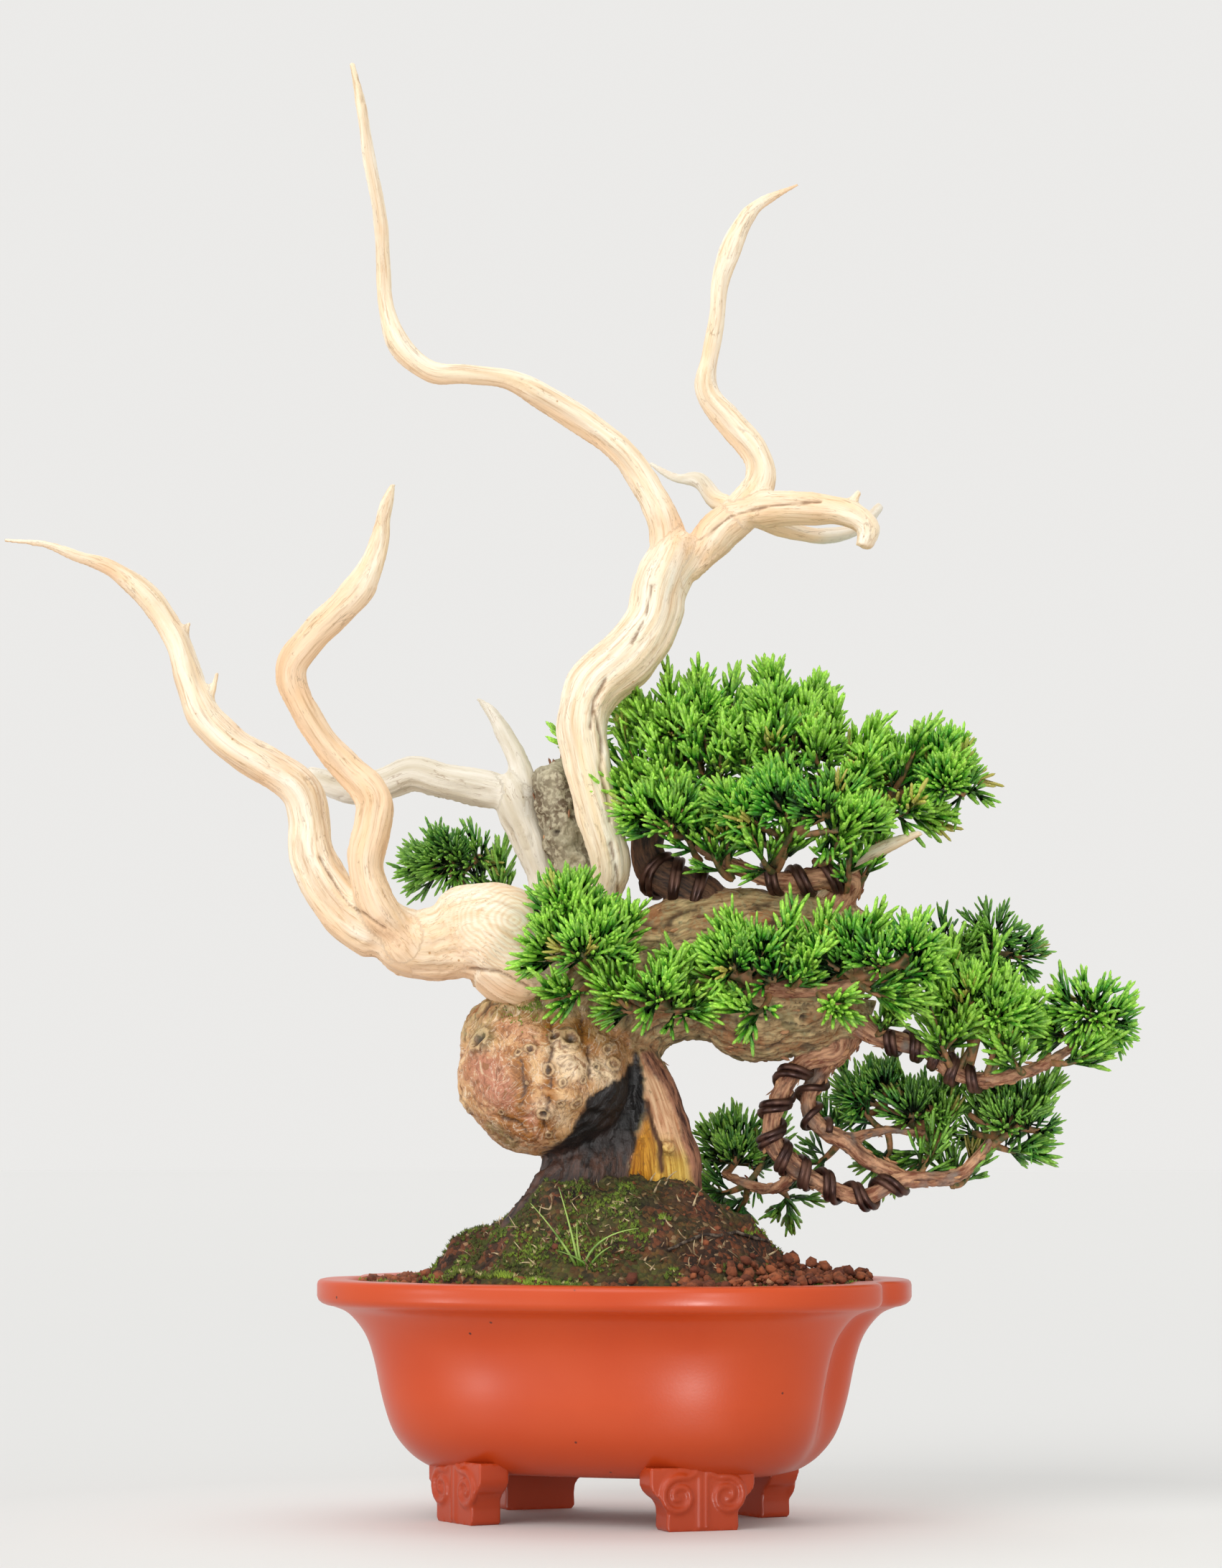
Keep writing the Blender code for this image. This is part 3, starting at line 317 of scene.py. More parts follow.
def metre_mesh(name, shape):
    """A mesh in metres from a bmesh in millimetres, with its faces pointing out."""
    bmesh.ops.scale(shape, vec=(MM, MM, MM), verts=shape.verts)
    bmesh.ops.recalc_face_normals(shape, faces=shape.faces)
    return as_mesh(name, shape)


def finished_mesh(piece):
    """The mesh of an object with its modifiers or its bevel applied; the object is removed."""
    graph = bpy.context.evaluated_depsgraph_get()
    mesh = bpy.data.meshes.new_from_object(piece.evaluated_get(graph))
    bpy.data.objects.remove(piece, do_unlink=True)
    return mesh


def dress(name, mesh, finishes, slot, *nodes):
    """Stand a finished mesh in the place of its solids, with its materials. Its slot is not used."""
    mesh.name = name
    if mesh.materials:
        mesh.materials.clear()
    for finish in finishes:
        mesh.materials.append(finish)
    mesh.shade_smooth()
    piece = link_object(name, mesh)
    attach(piece, "root")
    if nodes:
        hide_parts(*nodes)
    return piece


def tube(run, sides):
    """A closed round branch along a run of (place, radius)."""
    curve = bpy.data.curves.new("branch", "CURVE")
    curve.dimensions = "3D"
    curve.bevel_depth = MM
    curve.bevel_resolution = (sides - 4) // 2
    curve.use_fill_caps = True
    spline = curve.splines.new("POLY")
    spline.points.add(len(run) - 1)
    for point, (place, radius) in zip(spline.points, run):
        point.co = (*(place * MM), 1.0)
        point.radius = radius
    return finished_mesh(link_object("guide", curve))


def joined(meshes):
    """One mesh with the faces of all; touching ends are welded."""
    shape = bmesh.new()
    for mesh in meshes:
        shape.from_mesh(mesh)
        bpy.data.meshes.remove(mesh)
    bmesh.ops.remove_doubles(shape, verts=shape.verts, dist=0.00001)
    return as_mesh("joined", shape)


def fused(mesh, voxel, rounds):
    """Melt crossing bodies into one skin of even small faces, softened in rounds."""
    piece = link_object("fusing", mesh)
    skin = piece.modifiers.new("skin", "REMESH")
    skin.mode = "VOXEL"
    skin.voxel_size = voxel * MM
    soft = piece.modifiers.new("soft", "SMOOTH")
    soft.factor = 0.5
    soft.iterations = rounds
    return finished_mesh(piece)


def foot_frame(side_x, side_y):
    """Turns a foot's own axes, u across, w outwards and z up, into the pot's."""
    outwards = Vector((side_x * math.cos(FOOT_FACING), side_y * math.sin(FOOT_FACING), 0.0))
    across = Vector((-outwards.y, outwards.x, 0.0))
    turn = Matrix((across, outwards, UP)).transposed().to_4x4()
    turn.translation = STAND + Vector((side_x * FOOT_PLACE[0], side_y * FOOT_PLACE[1], 0.0))
    return turn


def foot(turn):
    """The block of one foot, cut to its stepped outline."""
    shape = bmesh.new()
    outline = FOOT_PROFILE + [(-u, z) for u, z in reversed(FOOT_PROFILE)]
    front = shape.faces.new([shape.verts.new((u, 0.0, z)) for u, z in outline])
    made = bmesh.ops.extrude_face_region(shape, geom=[front])["geom"]
    back = [item for item in made if isinstance(item, bmesh.types.BMVert)]
    bmesh.ops.translate(shape, vec=(0.0, -FOOT_DEPTH, 0.0), verts=back)
    bmesh.ops.transform(shape, matrix=turn, verts=shape.verts)
    return metre_mesh("foot", shape)


def volute(turn, side):
    """One raised band that runs in from a top corner and curls up, thinner at its eye."""
    run = [(turn @ Vector((side * u, -0.2, z)), 0.9) for u, z in VOLUTE_LEAD]
    for index in range(40):
        share = index / 39.0
        angle = math.radians(100.0 - 560.0 * share)
        reach = 4.7 * (1.0 - share) ** 0.8 + 0.5
        u = VOLUTE_CENTRE[0] + reach * math.cos(angle)
        z = VOLUTE_CENTRE[1] + reach * math.sin(angle)
        run.append((turn @ Vector((side * u, -0.05, z)), 1.1 - 0.4 * share))
    return tube(run, 10)


def rib(turn, offset):
    """One of the two upright ribs between a foot's spirals."""
    return tube([(turn @ Vector((offset, -0.1, z)), 0.62) for z in (0.9, 5.0, 10.0, 16.0)], 8)


belly, hollow = [smooth([Vector(level) for level in levels], steps)
                 for levels, steps in ((BELLY, 5), (HOLLOW, 4))]
pot_body = link_object("pot_body", metre_mesh("pot_body", bowl(belly + LIP + hollow, POT_SIDES)))
feet = []
for side_x in (-1.0, 1.0):
    for side_y in (-1.0, 1.0):
        turn = foot_frame(side_x, side_y)
        feet.append(foot(turn))
        feet.extend(volute(turn, side) for side in (-1.0, 1.0))
        feet.extend(rib(turn, offset) for offset in (-0.95, 0.95))
feet_piece = link_object("feet", fused(joined(feet), 0.5, 2))
drains = bmesh.new()
for side in (-DRAIN_SIDE, DRAIN_SIDE):
    bmesh.ops.create_cone(drains, cap_ends=True, segments=48, radius1=DRAIN_RADIUS, radius2=DRAIN_RADIUS,
                          depth=25.0, matrix=Matrix.Translation(STAND + Vector((side, 0.0, 17.5))))
drain_cutter = link_object("drains", metre_mesh("drains", drains))
for operation, other in (("UNION", feet_piece), ("DIFFERENCE", drain_cutter)):
    change = pot_body.modifiers.new(operation, "BOOLEAN")
    change.operation = operation
    change.solver = "MANIFOLD"
    change.object = other
pot_mesh = finished_mesh(pot_body)
for other in (feet_piece, drain_cutter):
    bpy.data.objects.remove(other, do_unlink=True)

clay, tree, place = new_finish("unglazed_red_stoneware", {"Roughness": 0.32, "IOR": 1.4, "Coat Weight": 0.06,
                                                          "Coat Roughness": 0.18})
# Firing leaves broad warm and dull patches, a few centimetres across. The feet and the bottom of the bowl
# are painted a darker red: painted shade near the floor.
clouds = add_node(tree, "TexNoise", {"Vector": place, "Scale": 28.0, "Detail": 3.0})
level = add_node(tree, "SeparateXYZ", {"Vector": place}, "Z")
fired_with_painted_shade = toned(tree, "#BE3E12", ("#CC4E1A", clouds), ("#9A3414", level, 0.006, 0.034, 0.75, 0.0))
# Iron specks under a millimetre across, a centimetre or two apart.
specks = add_node(tree, "TexVoronoi", {"Vector": place, "Scale": 150.0})
few = add_node(tree, "SeparateColor", {"Color": specks.node.outputs["Color"]}, "Red")
chosen = add_node(tree, "Math", {0: few, 1: 0.72}, operation="GREATER_THAN")
colour = toned(tree, fired_with_painted_shade, (toned(tree, fired_with_painted_shade, ("#5A2418", specks, 0.045, 0.075, 1.0, 0.0)), chosen))
# The burnished skin still shows the grain of the clay, about 0.5 mm.
grain = add_node(tree, "TexNoise", {"Vector": place, "Scale": 1600.0, "Detail": 4.0, "Roughness": 0.6})
sheen = add_node(tree, "MapRange", {"Value": clouds, "From Min": 0.3, "From Max": 0.7, "To Min": 0.29,
                                    "To Max": 0.38})
finish_skin(tree, colour, grain, 0.12, 0.2, sheen)
pot = dress("clay_pot", pot_mesh, [clay], "clay", "pot")
pot.data.set_sharp_from_angle(angle=math.radians(38.0))


# Drain screens: squares of moulded plastic mesh, laid over the two holes before the soil goes in.
# They are black polyethylene, dulled by scuffs and dust of a millimetre or so.


def mottled(name, tone, coats, scale, detail, values, *relief):
    """A finish mottled by one noise, which coats call patches; relief is (strength, depth)."""
    finish, tree, place = new_finish(name, values)
    patches = add_node(tree, "TexNoise", {"Vector": place, "Scale": scale, "Detail": detail})
    coats = [(coat, patches if share == "patches" else share, *span) for coat, share, *span in coats]
    finish_skin(tree, toned(tree, tone, *coats), patches if relief else None, *relief)
    return finish


mesh_plastic = mottled("moulded_polyethylene_mesh", "#141416", [("#38342F", "patches")], 900.0, 3.0,
                       {"Roughness": 0.5})
for number in (1, 2):
    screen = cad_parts[f"drain_screen_{number}"]
    screen.data.materials.clear()
    screen.data.materials.append(mesh_plastic)


# Live wood: burl, trunk and branches of a Chinese juniper, grown in one. Most of it wears flaky bark;
# the foot is split into a wound sealed black and a peeled strip of sapwood that has dried orange.

# A route's points are (x, height, depth, diameter), seen from the front.
BURL_CENTRE = (-19, 122, -4)
BURL_HALF = (24.2, 21.5, 22.0)
TRUNK = [(0, 84, 3, 22), (1, 100, 3, 22), (1, 116, 4, 20), (3, 128, 5, 19), (9, 140, 4, 24),
         (24, 149, 2, 37), (40, 148.5, 0, 45), (54, 148.5, 0, 39), (65, 150, 0, 23), (70, 149, 0, 11)]
BLACK_FOOT = [(2, 130, 0, 14), (-1, 116, 1, 18), (-5, 105, 2, 21), (-8, 96, 2, 26), (-9, 82, 2, 30)]
ORANGE_FOOT = [(6, 128, -1, 11), (11, 116, -2, 13), (14, 105, -2, 15), (15.8, 96, -2, 16.5),
               (16, 82, -2, 18)]
SHOULDER = [(-20, 126, -3, 38), (-9, 142, 0, 34), (4, 150, 2, 30), (16, 152, 3, 26)]
RIDGE = [(2, 160, 2, 9), (15, 164, -1, 13), (32, 167, -2, 14), (50, 166, -4, 14), (66, 164, -2, 12),
         (72, 165, -2, 6)]
STUB = [(2, 158, 14, 14), (-6, 170, 15, 13), (-11, 182, 16, 12), (-14, 194, 16, 12), (-16, 204, 16, 11),
        (-17, 208, 16, 6)]
SPUR = [(13, 102, -3, 5), (15.5, 102.5, -12.5, 4)]
ROOT = [(-6, 98, -3, 12), (-15, 95.5, -5, 9.5), (-23, 86.5, -8, 8), (-31, 76, -12, 6)]
LOOP_BRANCH = [(16, 164, -1, 11), (26, 171, -1, 11), (20, 175, 0, 11), (11.5, 179, 2, 10.5),
               (9.5, 188, 5, 9), (16, 197, 7, 7), (28, 201, 8, 6), (44, 203, 8, 5), (60, 203, 6, 4.5),
               (74, 200, 4, 4)]
UNDER_BRANCH = [(58, 164, -4, 9), (64, 172, -4, 8), (66, 177.5, -6, 7), (57, 177, -8, 6.5),
                (46, 176.5, -8, 5.5), (35, 180, -7, 5), (26, 185, -4, 4), (19, 190, -8, 3)]
LEFT_STRAND = [(60, 136, -1, 12), (62, 129, -2, 7), (52, 125, -3, 5.5), (45, 114, -3, 5.5),
               (44, 104, -1, 5.5), (50, 97, 0, 5.5), (58, 92.4, 1, 5), (69, 88.4, 2, 5), (80, 93, 3, 5),
               (94, 94, 4, 4.5), (100, 98, 5, 4), (105, 104, 6, 3)]
RIGHT_STRAND = [(66, 142, 2, 14), (66, 134, 2, 8), (58, 124, 4, 5.5), (54, 115, 4, 5),
                (57, 108, 4, 5), (64, 104, 5, 5), (70, 99, 5, 5), (80, 94, 4, 4.5)]
CROSS_TWIG = [(63, 104, 5, 4), (76, 107, 9, 3), (90, 105, 11, 2.5)]
LOW_TWIG = [(51, 96, 1, 4), (45, 91, 6, 3.5), (37, 92, 14, 3.5), (30, 95, 20, 3)]
RIGHT_BRANCH = [(62, 142, -4, 11), (72, 134, -4, 6.5), (82, 131, -4, 5.5), (89, 128, -4, 5),
                (95, 123, -3, 5), (103, 121, -3, 4.5), (114, 123, -3, 4), (121, 126, -2, 3.5),
                (128, 130, -1, 3)]
BACK_RIGHT_BRANCH = [(60, 150, 6, 10), (76, 152, 16, 6), (92, 154, 22, 4)]
BACK_LEFT_BRANCH = [(6, 150, 12, 9), (-14, 157, 28, 6.5), (-30, 167, 42, 5), (-42, 173, 45, 3.5)]
FRONT_BRANCH = [(0, 148, -8, 8), (-5, 150, -21, 5), (-14, 157, -27, 3.5)]
FRONT_LOW_BRANCH = [(8, 142, -6, 7), (6, 143, -18, 4.5), (8, 141, -26, 3)]
MIDDLE_BRANCH = [(40, 150, -14, 9), (44, 147, -25, 6), (56, 146, -30, 4), (68, 148, -31, 3)]
THICK_ROUTES = (TRUNK, BLACK_FOOT, ORANGE_FOOT, SHOULDER, RIDGE, STUB, SPUR, ROOT)
THIN_ROUTES = (LOOP_BRANCH, UNDER_BRANCH, LEFT_STRAND, RIGHT_STRAND, CROSS_TWIG, LOW_TWIG, RIGHT_BRANCH,
               BACK_RIGHT_BRANCH, BACK_LEFT_BRANCH, FRONT_BRANCH, FRONT_LOW_BRANCH, MIDDLE_BRANCH)
LIVE_ROUTES = THICK_ROUTES + THIN_ROUTES
LIVE_VOXEL = 0.85

# Outlines as seen from the front, as (x, height).
BLACK_WOUND = [(6.1, 129.5), (2.9, 122.3), (-3.0, 118.5), (-7.0, 115.9), (-8.5, 112.0), (-10.6, 108.8),
               (-14.2, 103.8), (-19.9, 100.2), (-24.0, 97.0), (-34.0, 90.0), (-34.0, 70.0), (4.0, 70.0),
               (4.4, 95.2), (6.5, 105.9), (8.3, 113.0), (8.3, 121.6), (7.3, 127.0)]
AMBER_SIDE = [(7.2, 113.0), (9.4, 109.0), (12.2, 103.0), (14.0, 97.0), (17.0, 88.0), (18.0, 70.0),
              (3.0, 70.0), (4.0, 95.0), (6.5, 105.9)]
YELLOWED_SIDE = [(12.2, 101.0), (16.0, 100.0), (20.0, 99.0), (23.0, 88.0), (24.0, 70.0), (16.0, 70.0),
                 (15.0, 90.0)]
PEELED_STRIP = [(7.3, 128.5), (8.3, 121.6), (8.3, 113.0), (6.5, 105.9), (4.4, 95.2), (4.0, 70.0),
                (30.0, 70.0), (26.0, 86.0), (24.5, 93.0), (22.0, 104.0), (19.4, 111.8), (15.1, 120.2),
                (12.5, 126.7), (10.0, 129.0)]
RIND = [(9.4, 128.0), (15.1, 120.2), (19.4, 111.6), (21.5, 102.3), (24.4, 89.5), (26.0, 80.0)]
STRIP_CRACK = [(8.6, 114.5), (9.6, 109.0), (12.2, 103.0), (12.6, 96.0)]
# Scars and knots, as (x, height, radius, depth of the pit): on the burl's front, then on the trunk.
SCARS = [
    (-37.2, 131.8, 2.7, 1.3), (-23.1, 129.5, 1.4, 1.1), (-26.4, 128.6, 1.0, 0.6), (-16.3, 133.0, 1.6, 0.8),
    (-12.1, 132.3, 2.3, 1.3), (-18.1, 123.8, 1.2, 0.7), (-14.2, 120.2, 0.9, 0.0), (-4.9, 124.5, 1.0, 0.8),
    (-0.6, 125.2, 1.8, 0.0), (-2.0, 129.5, 1.0, 0.5), (-8.5, 120.9, 0.8, 0.3), (-10.6, 114.5, 1.3, 0.3),
    (-19.6, 111.6, 1.5, 1.4), (-14.9, 114.5, 0.9, 0.4), (-18.1, 105.9, 1.0, 0.3), (-28.8, 104.5, 1.3, 0.9),
    (-24.5, 120.0, 0.7, 0.3), (-31.5, 112.0, 0.8, 0.4),
    (52.4, 138.6, 1.7, 1.3), (27.0, 140.0, 1.2, 0.8), (45.0, 133.0, 1.3, 0.3), (14.4, 102.3, 2.2, 0.0),
    (6.0, 164.0, 2.0, 0.9), (24.0, 166.0, 1.8, 0.8), (38.0, 168.0, 2.2, 0.9), (50.0, 163.0, 1.6, 0.9),
    (33.0, 161.0, 1.4, 0.6), (60.0, 160.0, 2.0, 1.0), (18.0, 158.0, 1.5, 0.0), (44.0, 157.0, 1.6, 0.0),
    (-12.0, 176.0, 1.6, 1.0), (-16.0, 190.0, 1.8, 1.2), (-13.0, 199.0, 1.5, 0.0),
]
HIDDEN_SCARS = 26
# Upright clefts in the burl's skin, each in a golden brown band, as (x, height) lines.
BURL_CLEFTS = ([(-17.5, 138.0), (-17.0, 129.8), (-18.1, 124.5), (-17.8, 119.1)],
               [(-9.0, 138.0), (-8.4, 132.0)], [(-25.8, 126.5), (-24.8, 118.0), (-26.0, 113.0)],
               [(-31.2, 110.5), (-26.9, 108.9), (-24.0, 106.0)],
               [(-7.0, 130.5), (-6.6, 121.5)], [(-18.0, 116.0), (-19.4, 108.0)])
# Patches of one tone on the burl, each as (strength, reach, line).
BURL_PATCHES = {
    "pink": ((0.95, 7.5, [(-36.0, 124.0), (-24.0, 108.0)]), (0.6, 5.0, [(-30.0, 138.0), (-21.0, 132.0)])),
    "pale": ((1.0, 4.5, [(-15.0, 128.0), (-12.0, 124.0)]), (1.0, 4.0, [(-4.0, 124.0), (0.0, 119.0)]),
             (0.7, 3.0, [(-20.0, 114.0), (-14.0, 110.0)])),
    "green": ((1.0, 4.0, [(-36.75, 133.0), (-36.65, 133.0)]), (0.7, 2.5, [(-34.0, 108.0), (-28.0, 103.0)])),
}


def seen(x, height, depth):
    """The place of a point given as it is seen from the front."""
    spread = 1.0 + depth / EYE_DISTANCE
    return from_front(x * spread, EYE_HEIGHT + (height - EYE_HEIGHT) * spread, depth)


def as_seen(places):
    """x, height and depth, seen from the front, of an array of places."""
    apart = places - np.array(STAND)
    depth = apart @ np.array(AWAY)
    spread = 1.0 + depth / EYE_DISTANCE
    x = apart @ np.array(RIGHTWARDS) / spread
    height = EYE_HEIGHT + (places[:, 2] - EYE_HEIGHT) / spread
    return x, height, depth


def smooth_route(route, steps):
    """A smooth run of (place, radius) through a route's own points."""
    radii = [diameter * 0.5 * (1.0 + depth / EYE_DISTANCE) for _, _, depth, diameter in route]
    radii.append(radii[-1])
    run = []
    for number, place in enumerate(smooth([seen(*point[:3]) for point in route], steps)):
        index, step = divmod(number, steps)
        t = step / steps
        ease = t * t * (3.0 - 2.0 * t)
        run.append((place, radii[index] + (radii[index + 1] - radii[index]) * ease))
    return run


def with_axes(run):
    """A run of (place, radius) with its axes ahead, sideways and upwards, carried along untwisted."""
    side = (run[1][0] - run[0][0]).orthogonal().normalized()
    stretches = []
    for index, (place, radius) in enumerate(run):
        before, after = run[max(index - 1, 0)][0], run[min(index + 1, len(run) - 1)][0]
        ahead = (after - before).normalized()
        side = (side - ahead * side.dot(ahead)).normalized()
        stretches.append((place, radius, ahead, side, ahead.cross(side)))
    return stretches


def along_grain(places, routes):
    """The nearest stretch of a branch to each place, where its fibres run.

    Gives the branch's number, its radius, the (sideways, upwards, along) place in millimetres and
    the axes ahead, sideways and upwards.
    """
    rows, numbers = [], []
    for number, route in enumerate(routes):
        stretches = with_axes(smooth_route(route, 6))
        length, before = 0.0, stretches[0][0]
        for place, radius, ahead, side, up in stretches:
            length += (place - before).length
            before = place
            rows.append([*place, *ahead, *side, *up, length, radius])
            numbers.append(number)
    rows = np.array(rows)
    found = []
    for part in np.array_split(places, max(1, len(places) // 4000)):
        apart = np.linalg.norm(part[:, None, :] - rows[None, :, 0:3], axis=2)
        found.append(np.argmin(apart - rows[None, :, 13], axis=1))
    found = np.concatenate(found)
    rows = rows[found]
    offset = places - rows[:, 0:3]
    ahead, side, up = rows[:, 3:6], rows[:, 6:9], rows[:, 9:12]
    local = np.stack([np.einsum("ij,ij->i", offset, axis) for axis in (side, up, ahead)], axis=1)
    local[:, 2] += rows[:, 12]
    return np.array(numbers)[found], rows[:, 13], local, (ahead, side, up)


def read_vertices(mesh):
    """Places in millimetres and normals of all vertices."""
    places = np.empty(len(mesh.vertices) * 3)
    mesh.vertices.foreach_get("co", places)
    normals = np.empty(len(mesh.vertices) * 3)
    mesh.vertices.foreach_get("normal", normals)
    return places.reshape(-1, 3) / MM, normals.reshape(-1, 3)


def move_vertices(mesh, places):
    """Put all vertices at new places, given in millimetres."""
    mesh.vertices.foreach_set("co", (places * MM).ravel())
    mesh.update()


def store(mesh, **shares):
    """Keep numbers or vectors for each vertex, for the material to read."""
    for name, values in shares.items():
        kind, field = ("FLOAT_VECTOR", "vector") if values.ndim == 2 else ("FLOAT", "value")
        layer = mesh.attributes.new(name, kind, "POINT")
        layer.data.foreach_set(field, values.astype(np.float32).ravel())


def noise_at(places, across, along=None, seed=0.0):
    """Smooth noise from -1 to 1, with its size across the grain and along it in millimetres."""
    size = np.array([across, across, along or across])
    return np.array([noise.noise(Vector(row)) for row in places / size + seed])


def ridges(values):
    """Sharp crests where smooth noise passes through nought."""
    return 1.0 - np.abs(values) * 2.0


def bell(values, reach, power=2):
    """A share that is full at nought and fades beyond a reach."""
    return np.exp(-(values / reach) ** power)


def eased(values, low, high):
    """A smooth step from 0 to 1 between two values."""
    t = np.clip((values - low) / (high - low), 0.0, 1.0)
    return t * t * (3.0 - 2.0 * t)


def line_distance(x, height, line):
    """Distance from seen places to a line of points."""
    nearest = np.full(len(x), 1e9)
    for (ax, az), (bx, bz) in zip(line, line[1:]):
        dx, dz = bx - ax, bz - az
        t = np.clip(((x - ax) * dx + (height - az) * dz) / (dx * dx + dz * dz), 0.0, 1.0)
        nearest = np.minimum(nearest, np.hypot(x - ax - t * dx, height - az - t * dz))
    return nearest


def inside_by(x, height, outline):
    """How far seen places lie inside an outline; negative outside."""
    within = np.zeros(len(x), dtype=bool)
    for (ax, az), (bx, bz) in zip(outline, outline[1:] + outline[:1]):
        if az != bz:
            crosses = (az > height) != (bz > height)
            within ^= crosses & (x < ax + (height - az) * (bx - ax) / (bz - az))
    distance = line_distance(x, height, outline + outline[:1])
    return np.where(within, distance, -distance)


def softened_seams(mesh, numbers, values, reach=5, rounds=14):
    """Values evened out where neighbouring vertices follow different routes."""
    ends = np.empty(len(mesh.edges) * 2, dtype=np.int64)
    mesh.edges.foreach_get("vertices", ends)
    first, second = ends.reshape(-1, 2).T
    near = np.zeros(len(values))
    seam = numbers[first] != numbers[second]
    near[first[seam]] = near[second[seam]] = 1.0
    for _ in range(reach):
        grown = near.copy()
        np.maximum.at(grown, first, near[second] - 1.0 / (reach + 1))
        np.maximum.at(grown, second, near[first] - 1.0 / (reach + 1))
        near = grown
    count = len(values)
    ties = np.bincount(first, minlength=count) + np.bincount(second, minlength=count)
    for _ in range(rounds):
        around = np.bincount(first, values[second], count) + np.bincount(second, values[first], count)
        values = values + near * (around / ties - values)
    return values


def skin_finder(mesh):
    """Finds where a line, in millimetres, meets a mesh."""
    return BVHTree.FromPolygons([tuple(place) for place in read_vertices(mesh)[0]],
                                [tuple(face.vertices) for face in mesh.polygons])


def find_seen(finder, x, height):
    """The place and the normal of a skin, seen from the front at x and a height."""
    return finder.ray_cast(eye, seen(x, height, 0.0) - eye)[:2]


def burl():
    """The knobbly ball of wood at the left of the trunk, with a hollow high on its left."""
    shape = bmesh.new()
    bmesh.ops.create_icosphere(shape, subdivisions=5, radius=1.0)
    centre = seen(*BURL_CENTRE)
    hollow = Vector((-0.72, -0.45, 0.5)).normalized()
    bulge = Vector((-0.68, -0.2, 0.7)).normalized()
    for vertex in shape.verts:
        facing = vertex.co.normalized()
        swell = 1.0 + 0.05 * noise.noise(facing * 2.6) + 0.03 * noise.noise(facing * 6.0)
        swell += 0.22 * math.exp(-((facing - bulge).length / 0.5) ** 2)
        swell -= 0.10 * math.exp(-((facing - hollow).length / 0.28) ** 2)
        vertex.co = centre + Vector([part * half for part, half in zip(facing, BURL_HALF)]) * swell
    return metre_mesh("burl", shape)


live_limbs = [burl()] + [tube(smooth_route(route, 5), 20) for route in LIVE_ROUTES]
live_mesh = fused(joined(live_limbs), LIVE_VOXEL, 5)
places, normals = read_vertices(live_mesh)
x, height, _ = as_seen(places)
facing_front = -(normals @ np.array(AWAY))
route_numbers, radii, local, (fibre_ways, _, _) = along_grain(places, LIVE_ROUTES)
burl_middle = seen(*BURL_CENTRE)
from_burl = np.linalg.norm((places - np.array(burl_middle)) / np.array(BURL_HALF), axis=1)
ragged = noise_at(places, 4.0, seed=3.0)
fine = noise_at(places, 1.6, seed=8.0)
burled = eased(1.12 + 0.06 * ragged - from_burl, 0.0, 0.06)
wound = eased(inside_by(x, height, BLACK_WOUND) + 0.9 * ragged + 0.7 * fine, -0.5, 0.5)
strip = eased(inside_by(x, height, PEELED_STRIP) + 0.3 * ragged, -0.4, 0.4) * (1.0 - wound)
rind = eased(1.7 + 0.8 * ragged + 0.5 * fine - line_distance(x, height, RIND), -0.4, 0.4)
rind *= eased(130.0 - height, 0.0, 2.0) * (1.0 - wound)
crack = eased(0.9 - line_distance(x, height, STRIP_CRACK), -0.4, 0.4) * eased(facing_front, 0.0, 0.3)
amber = eased(inside_by(x, height, AMBER_SIDE) + 0.8 * ragged, -1.6, 1.4)
branch = eased(7.5 - radii, 0.0, 1.5) * (route_numbers >= len(THICK_ROUTES))
stub = (route_numbers == LIVE_ROUTES.index(STUB)) * eased(height, 160.0, 170.0)
loop = (route_numbers == LIVE_ROUTES.index(LOOP_BRANCH)) * eased(local[:, 2], 4.0, 12.0)
loop *= eased(64.0 - local[:, 2], 0.0, 14.0)
old_bark = (1.0 - burled) * (1.0 - wound) * (1.0 - strip) * (1.0 - rind) * (1.0 - branch)

# Long fissures between flat plates on old bark, flakes on the branches, wrinkles that swirl on the burl.
fissures = bell(noise_at(local, 4.5, 15.0, seed=1.0), 0.07)
fissures = np.maximum(fissures, 0.7 * bell(noise_at(local, 2.2, 6.0, seed=2.0), 0.09))
flakes = ridges(noise_at(local, 1.7, 7.0, seed=3.0))
lumps = noise_at(places, 7.0, seed=5.0)
warp = np.stack([noise_at(places, 9.0, seed=seed) for seed in (21.0, 22.0, 23.0)], axis=1)
swirl = (places + warp * 9.0) / np.array([1.0, 1.0, 1.9])
wrinkles = bell(noise_at(swirl, 2.6, seed=6.0), 0.08)
folds = noise_at(swirl, 4.5, seed=7.0)
charred = ridges(noise_at(local, 2.4, 12.0, seed=31.0))
chips = np.abs(noise_at(local, 3.0, 9.0, seed=32.0))
fibres = ridges(noise_at(local, 2.2, 30.0, seed=4.0))
rise = old_bark * (0.3 - 0.9 * fissures + 0.3 * flakes + 0.8 * lumps)
rise += branch * (0.3 * flakes + 0.45 * lumps - 0.15 - 0.35 * fissures)
rise += stub * (0.9 * flakes * ragged + 2.0 * lumps + 1.6 * ridges(noise_at(places, 5.0, seed=33.0)))
rise += burled * (1.0 - wound) * (0.45 * folds + 0.8 * lumps - 0.4 * wrinkles + 0.2 * fine)
rise += wound * (0.8 * charred + 0.9 * ragged + 0.35 * fine - 0.9)
rise += strip * (0.45 * fibres - 1.0 + amber * (1.2 * chips - 0.5)) + rind * 0.8 - crack * 0.8
patches = {name: sum(most * bell(line_distance(x, height, line), reach) for most, reach, line in lines)
           for name, lines in BURL_PATCHES.items()}
patches["green"] += 0.8 * eased(height, 134.0, 142.0) * (x < 0.0)
golden, cleft = np.zeros(len(places)), np.zeros(len(places))
